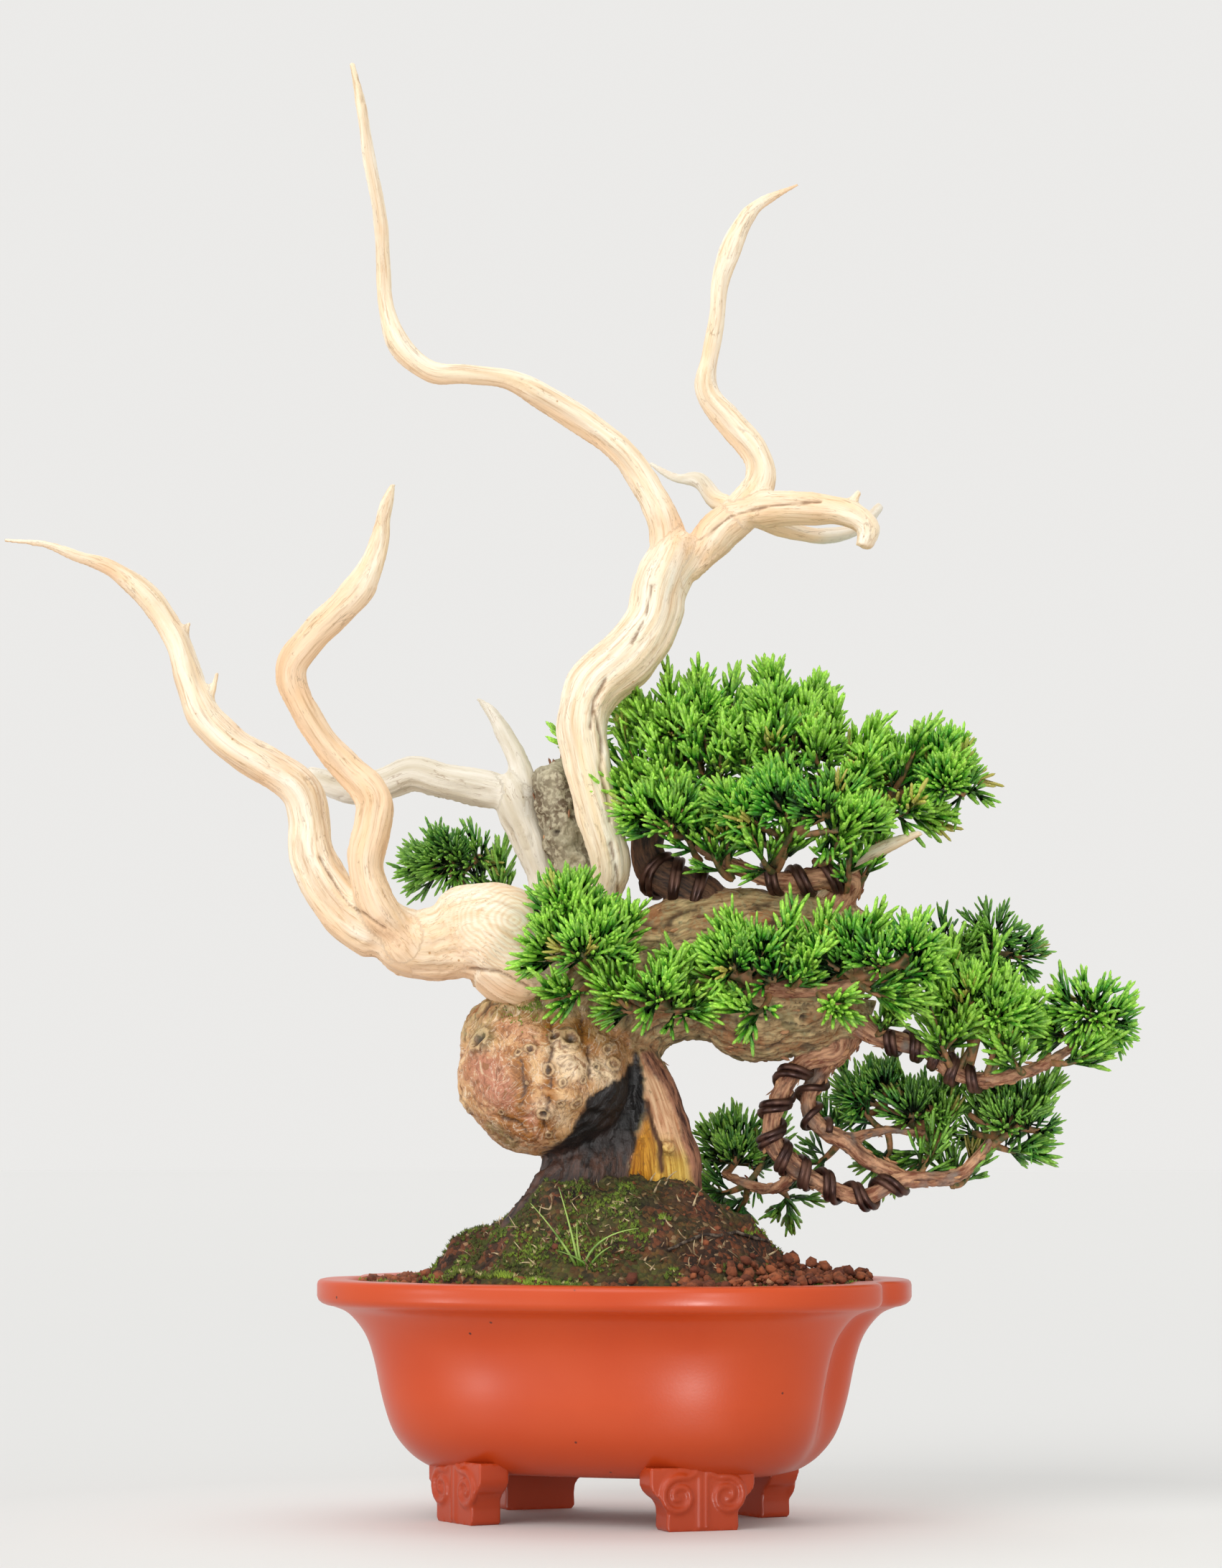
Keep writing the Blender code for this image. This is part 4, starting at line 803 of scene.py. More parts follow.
for line in BURL_CLEFTS:
    near = line_distance(x + 0.9 * fine, height, line)
    golden = np.maximum(golden, bell(near, 3.0))
    cleft = np.maximum(cleft, bell(near, 0.55) * burled * eased(facing_front, 0.0, 0.3))
rise -= 0.7 * cleft

# A scar is a raised ring round a pit or, where it has healed, round a low knob.
live_finder = skin_finder(live_mesh)
scars = [(find_seen(live_finder, *spot)[0], radius, pit) for *spot, radius, pit in SCARS]
draw = random.Random("scars")
for _ in range(HIDDEN_SCARS):
    way = Vector([draw.gauss(0.0, 1.0) for _ in range(3)]).normalized()
    hit = live_finder.ray_cast(burl_middle + way * 60.0, -way)[0]
    if hit and (hit - burl_middle).length < 26.0 and way.dot(AWAY) > -0.1:
        scars.append((hit, draw.uniform(0.7, 2.0), draw.uniform(0.0, 1.2)))
pitted = np.zeros(len(places))
knot_reach = np.full(len(places), 4.0)
for hit, radius, pit in scars:
    from_hit = places - np.array(hit)
    middle = np.argmin(np.linalg.norm(from_hit, axis=1))
    apart = np.linalg.norm(from_hit + (warp - warp[middle]) * 1.2, axis=1) / radius
    rise += 0.6 * radius ** 0.5 * bell(apart - 1.0, 0.45)
    rise += (0.35 * radius if pit == 0.0 else -pit) * bell(apart, 0.6)
    pitted = np.maximum(pitted, min(pit, 1.0) * bell(apart, 0.55, 4))
    knot_reach = np.minimum(knot_reach, apart)
rise = softened_seams(live_mesh, route_numbers, rise, 3, 6)
move_vertices(live_mesh, places + normals * rise[:, None])
store(live_mesh, grain=local, swirl=swirl, burl=burled, wound=wound, strip=strip, rind=rind, crack=crack,
      amber=amber, yellowed=eased(inside_by(x, height, YELLOWED_SIDE) + 1.4 * ragged, -7.0, 3.0),
      branch=branch, stub=stub, loop=loop, pit=pitted, knot=knot_reach, fissure=fissures,
      wrinkle=wrinkles, golden=golden, cleft=cleft, low=eased(104.0 + 2.0 * ragged - height, 0.0, 6.0),
      **patches)


def fibre_tone(tree, across, along, detail, **more):
    """Noise along the fibres, with its size across and along them in millimetres."""
    fibres = add_node(tree, "Attribute", wanted="Vector", attribute_name="grain")
    size = (1.0 / across, 1.0 / across, 1.0 / along)
    fibres = add_node(tree, "Mapping", {"Vector": fibres, "Scale": size})
    return add_node(tree, "TexNoise", {"Vector": fibres, "Scale": 1.0, "Detail": detail,
                                       "Roughness": 0.6, **more})


def weighed(tree, total, *parts):
    """A sum of outputs or shares on the mesh, each as (part, weight)."""
    for part, weight in parts:
        total = add_node(tree, "Math", {0: part, 1: weight, 2: total}, operation="MULTIPLY_ADD")
    return total


def from_middle(tree, tone):
    """How far a noise is from its middle value, which it passes along thin wandering lines."""
    return add_node(tree, "Math", {0: weighed(tree, -0.5, (tone, 1.0))}, operation="ABSOLUTE")


bark, tree, place = new_finish("flaky_juniper_bark", {"Roughness": 0.8})
# Bark plates flake about 2 mm wide and 9 mm long; fresh flakes are pinkish, old ones grey.
plates = fibre_tone(tree, 1.3, 6.0, 6.0)
mottle = add_node(tree, "TexNoise", {"Vector": place, "Scale": 110.0, "Detail": 4.0})
speckle = add_node(tree, "TexNoise", {"Vector": place, "Scale": 700.0, "Detail": 5.0})
old_tone = toned(tree, "#8E6C42", ("#DCC08C", plates, 0.38, 0.62), ("#A8683A", mottle, 0.5, 0.66, 0.0, 0.75),
                 ("#6F6A3E", mottle, 0.44, 0.36, 0.0, 0.6), ("#A9A47C", speckle, 0.52, 0.66, 0.0, 0.6),
                 ("#3A2717", "fissure", 0.25, 1.0, 0.0, 0.85))
branch_tone = toned(tree, "#82492F", ("#DDA982", plates, 0.38, 0.62), ("#8F8074", mottle, 0.55, 0.7),
                    ("#43261B", "fissure", 0.3, 1.0, 0.0, 0.7))
loop_tone = toned(tree, "#2E1D15", ("#80593F", plates, 0.38, 0.62))
stub_tone = toned(tree, "#A79E84", ("#6B5A44", mottle, 0.4, 0.6), ("#C2B99E", speckle, 0.45, 0.6))
# The burl's skin is thin and tight: tan, pink where it is thinnest, green with algae in its hollows.
burl_tone = toned(tree, "#B88048", ("#E8BC86", mottle, 0.38, 0.62))
cloud = add_node(tree, "TexNoise", {"Vector": place, "Scale": 240.0, "Detail": 5.0, "Distortion": 1.2,
                                    "Roughness": 0.65})
for share, tone in (("pink", "#BE7C5E"), ("golden", "#AC6E26"), ("pale", "#F4D6AC"), ("green", "#8C8450")):
    burl_tone = toned(tree, burl_tone, (tone, weighed(tree, -0.8, (cloud, 1.6), (share, 1.0)), 0.25, 0.9))
burl_tone = toned(tree, burl_tone, ("#96602F", cloud, 0.54, 0.64, 0.0, 0.85),
                  ("#EAD2B0", cloud, 0.43, 0.35, 0.0, 0.6))
# Pale and dark veins 0.4 mm wide wander down the skin, a few millimetres apart.
swirling = add_node(tree, "Attribute", wanted="Vector", attribute_name="swirl")
for scale, width, tone in ((0.26, 0.02, "#F4E2C8"), (0.34, 0.024, "#7E4E2C")):
    veins = add_node(tree, "TexNoise", {"Vector": swirling, "Scale": scale, "Detail": 4.0,
                                        "Distortion": 0.8})
    burl_tone = toned(tree, burl_tone, (tone, from_middle(tree, veins), 0.0, width, 0.6, 0.0))
# A knot is a pale raised ring between two dark ones.
circling = weighed(tree, -1.2, ("knot", 1.0), (cloud, 1.3), (speckle, 1.1))
waves = add_node(tree, "Math", {0: weighed(tree, 0.0, (circling, 2.0 * math.pi))}, operation="COSINE")
burl_tone = toned(tree, burl_tone, ("#6B4226", "wrinkle", 0.3, 1.0, 0.0, 0.6),
                  ("#4A2C16", "cleft", 0.2, 0.9, 0.0, 0.85),
                  (toned(tree, "#573A1E", ("#DDBE90", waves, -0.6, 0.8)), circling, 1.3, 1.9, 0.55, 0.0))
# Sapwood fibres in the peeled strip are about 1 mm wide and 3 cm long.
streaks = fibre_tone(tree, 0.9, 30.0, 4.0)
sap_tone, amber_tone, yellow_tone = [toned(tree, dark, (light, streaks, 0.36, 0.64)) for dark, light in (
    ("#C98C62", "#F6CCA0"), ("#A05A08", "#F6B02C"), ("#B4821C", "#F0CC62"))]
strip_tone = toned(tree, sap_tone, (amber_tone, "amber"), (yellow_tone, "yellowed"),
                   ("#8A5A26", speckle, 0.58, 0.7, 0.0, 0.5))
rind_tone = toned(tree, "#4A2418", ("#B47C5E", plates, 0.4, 0.6))
low_tone = toned(tree, "#24160F", ("#57382A", plates, 0.4, 0.6))
wound_tone = toned(tree, "#0C0808", ("#2A1D1A", mottle, 0.45, 0.7), (low_tone, "low"))
colour = toned(tree, old_tone, (branch_tone, "branch"), (loop_tone, "loop"), (stub_tone, "stub"),
               (burl_tone, "burl"), (strip_tone, "strip"), (rind_tone, "rind"), ("#5A3518", "crack"),
               ("#2E1C12", "pit"), (wound_tone, "wound"))
# The burl's tight skin and the sealed wound are smoother than flaking bark.
dull = add_node(tree, "MapRange", {"Value": "burl", "To Min": 0.8, "To Max": 0.5})
dull = add_node(tree, "MapRange", {"Value": "wound", "To Min": dull, "To Max": 0.5})
# Flake edges and fibres finer than the mesh, 0.2 to 0.6 mm.
finish_skin(tree, colour, weighed(tree, speckle, (fibre_tone(tree, 0.7, 4.0, 6.0), 1.0)), 0.7, 0.5, dull)
dress("barked_trunk", live_mesh, [bark], "bark", "live_trunk")


# Loose bark: thin curled flakes that lift off the younger branches and the trunk, still held at one
# end. The freshly bared inner side is orange, the old outer side grey-brown.

BARK_FLAKES = 800


def turned_copy(templates, draw, spot, way, scale):
    """A copy of one template at a spot in metres, grown one way and turned by chance about it."""
    about = Matrix.Rotation(draw.uniform(0.0, 2.0 * math.pi), 3, "Z")
    matrix = (way.to_track_quat("Z", "Y").to_matrix() @ about @ Matrix.Diagonal(scale)).to_4x4()
    matrix.translation = spot
    copy = draw.choice(templates).copy()
    copy.transform(matrix)
    return copy


def merge_copy(shape, copy, **shares):
    """Merge a copy into a bmesh, with one value for each of its shares."""
    for name, value in shares.items():
        layer = copy.attributes.new(name, "FLOAT", "POINT")
        layer.data.foreach_set("value", [value] * len(copy.vertices))
    shape.from_mesh(copy)
    bpy.data.meshes.remove(copy)


def scatter(name, templates, places, finish, slot):
    """Many small pieces in one mesh; each place is (spot, direction, size, chance)."""
    shape = bmesh.new()
    draw = random.Random(name)
    for spot, way, size, chance in places:
        merge_copy(shape, turned_copy(templates, draw, spot * MM, way, (size, size, size)), chance=chance)
    for template in templates:
        bpy.data.meshes.remove(template)
    dress(name, as_mesh(name, shape), [finish], slot)


def bark_flake(seed):
    """A long thin chip, curled along its length, that grows along +Z."""
    draw = random.Random(seed)
    shape = bmesh.new()
    bmesh.ops.create_icosphere(shape, subdivisions=1, radius=1.0)
    width, curl = draw.uniform(0.35, 0.7), draw.uniform(0.1, 0.35)
    for vertex in shape.verts:
        x, y, z = vertex.co
        vertex.co = Vector((x * width, y * 0.16 + curl * z * z, z * 1.5 + 1.0))
    return metre_mesh("flake", shape)


draw = random.Random("flakes")
lift_places, lift_normals = read_vertices(live_mesh)
likely = branch * (1.0 - loop) + 0.16 * old_bark * (1.0 - branch)
flake_places = []
while len(flake_places) < BARK_FLAKES:
    index = draw.randrange(len(likely))
    if draw.random() < likely[index]:
        along = Vector(fibre_ways[index]) * draw.choice((-1.0, 1.0))
        way = (along + Vector(lift_normals[index]) * draw.uniform(0.1, 0.5)).normalized()
        root = Vector(lift_places[index]) - way * 0.3
        flake_places.append((root, way, draw.uniform(0.5, 1.1), draw.random()))
# A flake is dry and matt, and its colours change every 2 mm.
loose_bark = mottled("loose_bark_flakes", "#7A4A34",
                     [("#E0A878", "chance"), ("#6E5846", "patches", 0.5, 0.7, 0.0, 0.6)],
                     500.0, 3.0, {"Roughness": 0.85})
scatter("bark_flakes", [bark_flake(seed) for seed in range(6)], flake_places, loose_bark, "bark")


# Deadwood: limbs stripped of bark and bleached with lime sulphur. The bare fibres run along each limb
# in long ridges and cracks, and the youngest wood is cream while the rearmost has weathered grey.

MAIN_JIN = [(-3, 162, 1, 9), (-2, 172, -4, 9), (-0.5, 181, -6, 11), (-4, 195, -6, 12), (-8, 211, -5, 13),
            (-9, 222, -4, 14), (-5.4, 231, -3, 16.2), (3.8, 239.2, -2, 17), (10.8, 248.6, -1, 15.5),
            (13, 258, 0, 15), (17, 268, 0, 14), (20, 274, 0, 8)]
LEFT_LIMB = [(14, 262, 0, 11), (15, 274.5, 0, 10), (10.6, 285.4, 1, 8.3), (3.2, 296.2, 2, 7.6),
             (-7.1, 304.7, 2, 7.8), (-19, 312, 1, 7.4), (-30, 317.4, 0, 5.9), (-42, 319, -2, 5.6),
             (-52, 320, -3, 6.4), (-60, 327, -3, 6.6), (-64, 338, -2, 4.8), (-65, 350, 0, 4.4),
             (-66, 364, 1, 4.1), (-69, 380, 2, 3.8), (-71, 394, 2, 3.3), (-74, 408, 2, 1.6)]
RIGHT_LIMB = [(21, 262.5, 0, 12.5), (29, 274, 2, 11.5), (36, 280, 3, 11.5), (41.6, 289, 3, 9),
              (39.9, 297, 4, 8), (32.6, 305.6, 5, 7.6), (26, 314, 6, 6.6), (27, 324, 7, 4.9),
              (29, 335, 7, 4.5), (30, 345, 7, 4.8), (33, 354, 8, 6.2), (37, 363, 8, 5), (42, 368, 9, 3.2),
              (52, 373, 10, 0.9)]
HOOK_ARM = [(34, 279, 2, 10), (44, 281, -2, 9.8), (54, 281, -6, 8.8), (64, 280, -9, 8),
            (71, 276, -11, 6.6), (70, 270, -12, 4.6)]
HOOK_SPUR = [(65, 280, -9, 5), (69, 286, -10, 1.8)]
REAR_ARM = [(36, 279, 4, 7), (48, 275.3, 10, 5.2), (58, 273.4, 14, 4.6), (68, 275.4, 16, 4),
            (75, 282, 18, 2.8)]
GREY_SNAG = [(38, 281, 5, 7), (29, 283, 14, 5.6), (24, 288.7, 18, 5), (17, 289.7, 22, 3),
             (10, 293.8, 26, 1.3)]
SWELL = [(-15, 150.5, -4, 23), (-25.5, 155.4, -6, 31), (-33, 161, -7, 31), (-40, 161.6, -7, 27.5),
         (-49, 159, -7, 21), (-58, 159.5, -7, 18.5), (-66, 168, -7, 12), (-70, 173, -7, 6)]
FAR_LEFT_LIMB = [
    (-56, 158, -7, 18), (-69.6, 164, -6, 16), (-79, 172.8, -5, 14), (-84.4, 183.4, -4, 12.6),
    (-85.3, 194, -4, 11), (-88.5, 202.6, -5, 11.2), (-98, 209, -6, 10), (-107.6, 215.3, -7, 10.2),
    (-115, 223.2, -7, 9.8), (-119, 232.8, -6, 9), (-122, 242.6, -5, 7.6), (-127, 251.2, -4, 7),
    (-133, 258.2, -4, 7.2), (-140.8, 264.2, -5, 4.8), (-150.4, 267.5, -7, 3.4), (-160, 271, -9, 2.3),
    (-171, 272, -11, 1.1),
]
SECOND_LIMB = [
    (-58, 160, -12, 14), (-66, 170, -14, 11), (-69, 181, -14, 10), (-67, 192, -13, 10.4),
    (-66.8, 200, -12, 10.2), (-74.4, 208.2, -11, 8.4), (-82, 216.6, -11, 7.6), (-88.2, 226.8, -12, 7.6),
    (-90.6, 235.6, -13, 9), (-86, 243, -14, 8.8), (-78.6, 250.4, -15, 9.6), (-71, 258.6, -16, 9),
    (-66.2, 269.6, -16, 6.4), (-64.4, 280, -15, 4.2), (-62, 288, -14, 1.6),
]
THORN = [(-121, 240, -5, 4), (-119, 249, -5, 1.2)]
LOW_THORN = [(-113, 226, -7, 4), (-111, 235, -7, 1.2)]
BACK_JIN = [(-12, 158, 16, 10), (-18, 168, 20, 8.6), (-20, 178, 22, 8), (-24, 190, 22, 10),
            (-28, 200, 22, 12), (-31, 206, 22, 7)]
BACK_SPIKE = [(-25, 196, 22, 11), (-25.5, 205, 22, 8.5), (-27, 211, 22, 6.2), (-30, 216.7, 22, 5),
              (-33.8, 223.2, 22, 3.6), (-38.2, 227.6, 22, 1)]
BACK_ARM = [(-26, 200, 22, 11), (-36, 202, 22, 10.4), (-47, 204, 22, 9.6), (-56, 206.4, 23, 9.6),
            (-63, 203.8, 24, 9.6), (-71, 202, 25, 8.6), (-79, 203.5, 26, 7.2), (-86, 206.5, 27, 4.5)]
SIDE_JIN = [(52, 168, -2, 6.5), (60, 176, -5, 5), (67, 181, -9, 4.6), (76, 186, -14, 4), (86, 190, -18, 2)]
THINNEST = 1.0
DEAD_VOXEL = 0.75
# Where the base of the twin limbs was cut into, and its year rings show.
SWELL_EYE = (-28.0, 165.5)
# Long cracks as (x, height) lines on the front of the wood.
MAIN_CRACKS = (
    [(-5.5, 224.0), (-3.6, 216.0), (-3.8, 208.0), (-2.0, 200.0), (-1.2, 193.0)],
    [(-2.0, 233.0), (-5.6, 227.0), (-6.6, 219.0)],
    [(5.0, 243.0), (8.6, 250.0), (10.5, 259.0)],
    [(-1.0, 187.0), (1.0, 178.0), (1.6, 170.0)],
    [(24.0, 272.0), (33.0, 279.0), (45.0, 282.0), (58.0, 283.0)],
    [(-40.0, 152.0), (-32.0, 151.0), (-24.0, 147.0)],
    [(-64.0, 163.0), (-74.0, 170.0), (-82.0, 183.0)],
)


def deadwood(name, routes, node, slot, finish, warm_limb=-1):
    """Limbs melted into one skin, tapered to their true tips and worn along the grain."""
    limbs = []
    for number, route in enumerate(routes):
        # A side limb starts slim inside its parent, so its root doesn't show.
        limbs.append(tube([(place, max(radius, THINNEST) * (min(1.0, 0.4 + 0.15 * index) if number else 1.0))
                           for index, (place, radius) in enumerate(smooth_route(route, 5))], 16))
    mesh = fused(joined(limbs), DEAD_VOXEL, 6)
    places, _ = read_vertices(mesh)
    numbers, radii, local, (_, sideways, upwards) = along_grain(places, routes)
    true_share = np.clip(radii / THINNEST, 0.2, 1.0)[:, None]
    aside = local[:, 0:1] * sideways + local[:, 1:2] * upwards
    move_vertices(mesh, places - aside * (1.0 - true_share))
    places, normals = read_vertices(mesh)
    x, height, depth = as_seen(places)
    facing_front = -(normals @ np.array(AWAY))
    flute = noise_at(local, 3.6, 46.0, seed=11.0)
    ridge_lines = ridges(noise_at(local, 1.7, 26.0, seed=12.0))
    lumps = noise_at(places, 9.0, seed=13.0)
    splits = 0.6 * bell(noise_at(local, 3.2, 40.0, seed=14.0), 0.035) * eased(lumps, 0.05, 0.3)
    wander = 0.35 * noise_at(places, 2.5, seed=15.0)
    for line in MAIN_CRACKS:
        near = bell(line_distance(x, height, line) + wander, 0.55)
        splits = np.maximum(splits, near * eased(facing_front, 0.1, 0.4))
    slim = np.clip(radii / 5.0, 0.12, 1.0)
    eye_x, eye_height = x - SWELL_EYE[0], height - SWELL_EYE[1]
    rings = np.hypot(eye_x, eye_height * 1.25) + 2.4 * lumps + 0.7 * noise_at(places, 3.5, seed=16.0)
    swell = bell(np.hypot(eye_x, eye_height), 17.0, 4) * (slot == "bleached_wood")
    rise = 0.8 * flute * (1.0 - 0.6 * swell) + 0.4 * ridge_lines * (1.0 - swell) + 0.7 * lumps - 0.2
    rise = softened_seams(mesh, numbers, slim * rise - 0.9 * splits * slim)
    move_vertices(mesh, places + normals * rise[:, None])
    crest = softened_seams(mesh, numbers, 0.25 + 0.5 * flute + 0.4 * ridge_lines)
    warmth = softened_seams(mesh, numbers, (numbers == warm_limb) * 0.5, 8, 40)
    # How much the skin faces down, for the painted shade on undersides.
    store(mesh, grain=local, crack=splits, swell=swell, ringed=rings, crest=np.clip(crest, 0.0, 1.0),
          greyed=eased(depth + 2.0 * lumps, 9.0, 16.0), warmth=warmth * eased(278.0 - height, 0.0, 40.0),
          underside=eased(-normals[:, 2], 0.0, 0.9))
    dress(name, mesh, [finish], slot, node)


def bare_wood(name, pale, warm, dark, peach):
    """Sun-bleached juniper without bark: dry open fibres, hardly any sheen."""
    finish, tree, place = new_finish(name, {"Roughness": 0.72})
    # Fibre bundles 2.5 mm wide, single fibres 0.5 mm wide, both many times longer than wide.
    bundles = fibre_tone(tree, 2.5, 40.0, 4.0)
    hairs = fibre_tone(tree, 0.55, 16.0, 5.0)
    blotches = add_node(tree, "TexNoise", {"Vector": place, "Scale": 45.0, "Detail": 4.0})
    # Where a limb was cut into, the year rings show 1.5 mm apart.
    turns = add_node(tree, "Math", {0: weighed(tree, 0.0, ("ringed", 4.2))}, operation="COSINE")
    rings = toned(tree, pale, ("#E6BC8C", turns, -0.6, 0.9))
    grey = toned(tree, "#F2ECDF", ("#DCD2BC", bundles, 0.35, 0.65))
    # Hairline cracks 0.2 mm wide and up to a centimetre long, in patches.
    hairlines = fibre_tone(tree, 1.667, 12.5, 3.0, Roughness=0.5, Distortion=0.5)
    cracked = add_node(tree, "TexNoise", {"Vector": place, "Scale": 150.0, "Detail": 2.0})
    where = add_node(tree, "MapRange", {"Value": cracked, "From Min": 0.5, "From Max": 0.6, "To Max": 0.55})
    hairline = add_node(tree, "MapRange", {"Value": from_middle(tree, hairlines), "From Max": 0.02,
                                           "To Min": where, "To Max": 0.0})
    # Pin holes of about half a millimetre, a centimetre apart.
    holes = add_node(tree, "TexVoronoi", {"Vector": place, "Scale": 120.0})
    # Undersides are painted a darker peach: painted shade.
    colour = toned(tree, pale, (warm, bundles, 0.35, 0.65), (peach, blotches, 0.5, 0.72, 0.0, 0.75),
                   (peach, "underside", 0.0, 1.0, 0.0, 0.7), (peach, "warmth"),
                   (dark, hairs, 0.53, 0.68, 0.0, 0.6), (rings, "swell", 0.1, 1.0, 0.0, 0.35),
                   (grey, "greyed"), ("#8E6840", hairline), (dark, holes, 0.03, 0.055, 1.0, 0.0),
                   (dark, "crest", 0.45, 0.1, 0.0, 0.32), ("#7A5430", "crack", 0.35, 1.0, 0.0, 0.8))
    finish_skin(tree, colour, weighed(tree, hairs, (bundles, 1.0)), 0.6, 0.4)
    return finish


cream_wood = bare_wood("bleached_juniper_heartwood", "#FCF2DE", "#F4DCB6", "#C09464", "#F4C698")
grey_wood = bare_wood("weathered_juniper_sapwood", "#FCF5E8", "#ECDFC8", "#A8977C", "#F4E0C2")
deadwood("bleached_apex", (MAIN_JIN, LEFT_LIMB, RIGHT_LIMB, HOOK_ARM, HOOK_SPUR, REAR_ARM, GREY_SNAG),
         "apex_jin", "bleached_wood", cream_wood)
deadwood("bleached_twin_limbs", (SWELL, FAR_LEFT_LIMB, SECOND_LIMB, THORN, LOW_THORN), "twin_jin",
         "bleached_wood", cream_wood, warm_limb=2)
deadwood("weathered_back_limb", (BACK_JIN, BACK_SPIKE, BACK_ARM), "back_jin", "grey_wood", grey_wood)
deadwood("bleached_side_snag", (SIDE_JIN,), "side_jin", "bleached_wood", cream_wood)


# Soil: a fired clay and loam mix packed up to the lip and heaped round the foot of the tree, where it
# has crusted over and carries moss, crumbs, needles and a few blades of grass.

SOIL_EDGE = POT_HEIGHT - 0.7
SOIL_INSET = 10.8
SOIL_RINGS = 76
SOIL_SIDES = 280
# The sides of the soil under its edge, as (height, inset).
SOIL_SIDE = [(19.3, 39.3), (30.0, 24.6), (40.0, 21.3), (52.0, 17.8), (60.0, 13.3),
             (SOIL_EDGE - 1.7, SOIL_INSET)]
MOUND_RISE = 31.5
MOUND_HALF = (54.0, 44.0)
MOUND_SLOPE = 1.6
# Hummocks on the heap, as (x, depth, rise, radius) seen from the front.
HUMMOCKS = (
    (-18, -17, 8, 7), (-44, -6, 6, 8), (22, -10, 3, 9), (4, -24, 2.5, 6), (-49, -31, 2.5, 6),
    (-38, -36, 3.5, 6), (-27, -40, 3, 6), (-16, -42, 1.5, 5), (30, -30, 4, 6), (14, -32, 3, 5),
    (-30, -22, 4, 6), (38, -6, 4, 6), (56, -18, 3.5, 6),
)
PEBBLE = 2.6
GRANULES = 1300
GRANULE_SIZES = (0.4, 0.6, 0.8, 1.0, 1.3, 1.8)


def turned(x, y):
    """How far right and how far behind a place lies, both given from the pot's centre."""
    return x * RIGHTWARDS.x + y * RIGHTWARDS.y, x * AWAY.x + y * AWAY.y


def soil_height(x, y):
    """The heap round the trunk, given from the pot's centre, with its clods."""
    reach = math.hypot((x - 1.0) / MOUND_HALF[0], y / MOUND_HALF[1])
    rise = MOUND_RISE * max(0.0, 1.0 - reach ** MOUND_SLOPE)
    side, depth = turned(x, y)
    for hummock_x, hummock_depth, lift, radius in HUMMOCKS:
        rise += lift * math.exp(-((side - hummock_x) ** 2 + (depth - hummock_depth) ** 2) / radius ** 2)
    rough = min(1.0, 0.35 + rise / 8.0)
    clods = 1.6 * noise.fractal(Vector((x, y, 30.0)) * 0.2, 0.7, 2.2, 6)
    swells = 1.6 * noise.noise(Vector((x, y, 0.0)) * 0.13)
    return SOIL_EDGE + rise + rough * (clods + swells)


def turn_of(vertex):
    """Where a vertex stands round the pot's centre."""
    return math.atan2(vertex.co.y - STAND.y, vertex.co.x - STAND.x) % (2.0 * math.pi)


shape = bowl(SOIL_SIDE, SOIL_SIDES)
top = [face for face in shape.faces if face.calc_center_median().z > SOIL_EDGE - 1.8]
for number in range(1, SOIL_RINGS):
    share = 1.0 - number / SOIL_RINGS
    bmesh.ops.inset_region(shape, faces=top, thickness=0.2, use_even_offset=False)
    ring = pot_outline(SOIL_INSET, notch_at(SOIL_EDGE) * share, SOIL_SIDES)
    for vertex, (x, y) in zip(sorted(top[0].verts, key=turn_of), ring):
        x, y = x * share, y * share
        height = soil_height(x, y)
        pebbles = 1.0 - noise.voronoi(Vector((x, y, height)) / PEBBLE)[0][0] * 1.6
        vertex.co = STAND + Vector((x, y, height + 0.9 * pebbles - 0.6))
bmesh.ops.poke(shape, faces=top)
soil_mesh = metre_mesh("soil", shape)

earth, tree, place = new_finish("crusted_bonsai_soil", {"Roughness": 0.95})
# Loam clods of a few millimetres, red clay crumbs among them, pale dust and black bark between.
clods = add_node(tree, "TexNoise", {"Vector": place, "Scale": 120.0, "Detail": 6.0, "Roughness": 0.7})
crumbs = add_node(tree, "TexVoronoi", {"Vector": place, "Scale": 800.0})
picks = add_node(tree, "SeparateColor", {"Color": crumbs.node.outputs["Color"]}).node.outputs
film = add_node(tree, "TexNoise", {"Vector": place, "Scale": 60.0, "Detail": 4.0})
film_tone = toned(tree, "#2A3014", ("#5A6428", picks["Blue"]))
colour = toned(tree, "#21160F", ("#5A3A26", clods, 0.36, 0.64),
               ("#7E4528", picks["Red"], 0.6, 0.75, 0.0, 0.7),
               ("#B99670", picks["Green"], 0.95, 0.97, 0.0, 0.6),
               (film_tone, film, 0.44, 0.62, 0.0, 0.65))
finish_skin(tree, colour, weighed(tree, clods, (crumbs, -1.0)), 0.9, 1.2)
dress("heaped_soil", soil_mesh, [earth], "soil", "soil")
soil_finder = skin_finder(soil_mesh)


def on_soil(x, y):
    """The soil's surface and its normal under a place given from the pot's centre."""
    return soil_finder.ray_cast(STAND + Vector((x, y, 140.0)), -UP)[:2]


def crumb(seed):
    """A broken lump of fired clay, 2 mm across."""
    shape = bmesh.new()
    bmesh.ops.create_icosphere(shape, subdivisions=2 if seed < 3 else 1, radius=1.0)
    squash = Vector((1.0, 0.8 + 0.05 * seed, 0.62 + 0.04 * seed))
    for vertex in shape.verts:
        facing = vertex.co.normalized()
        lump = 1.0 + 0.45 * noise.noise(facing * 1.7 + Vector((seed * 7.0, 0.0, 0.0)))
        vertex.co = facing * lump * squash
    return metre_mesh("crumb", shape)


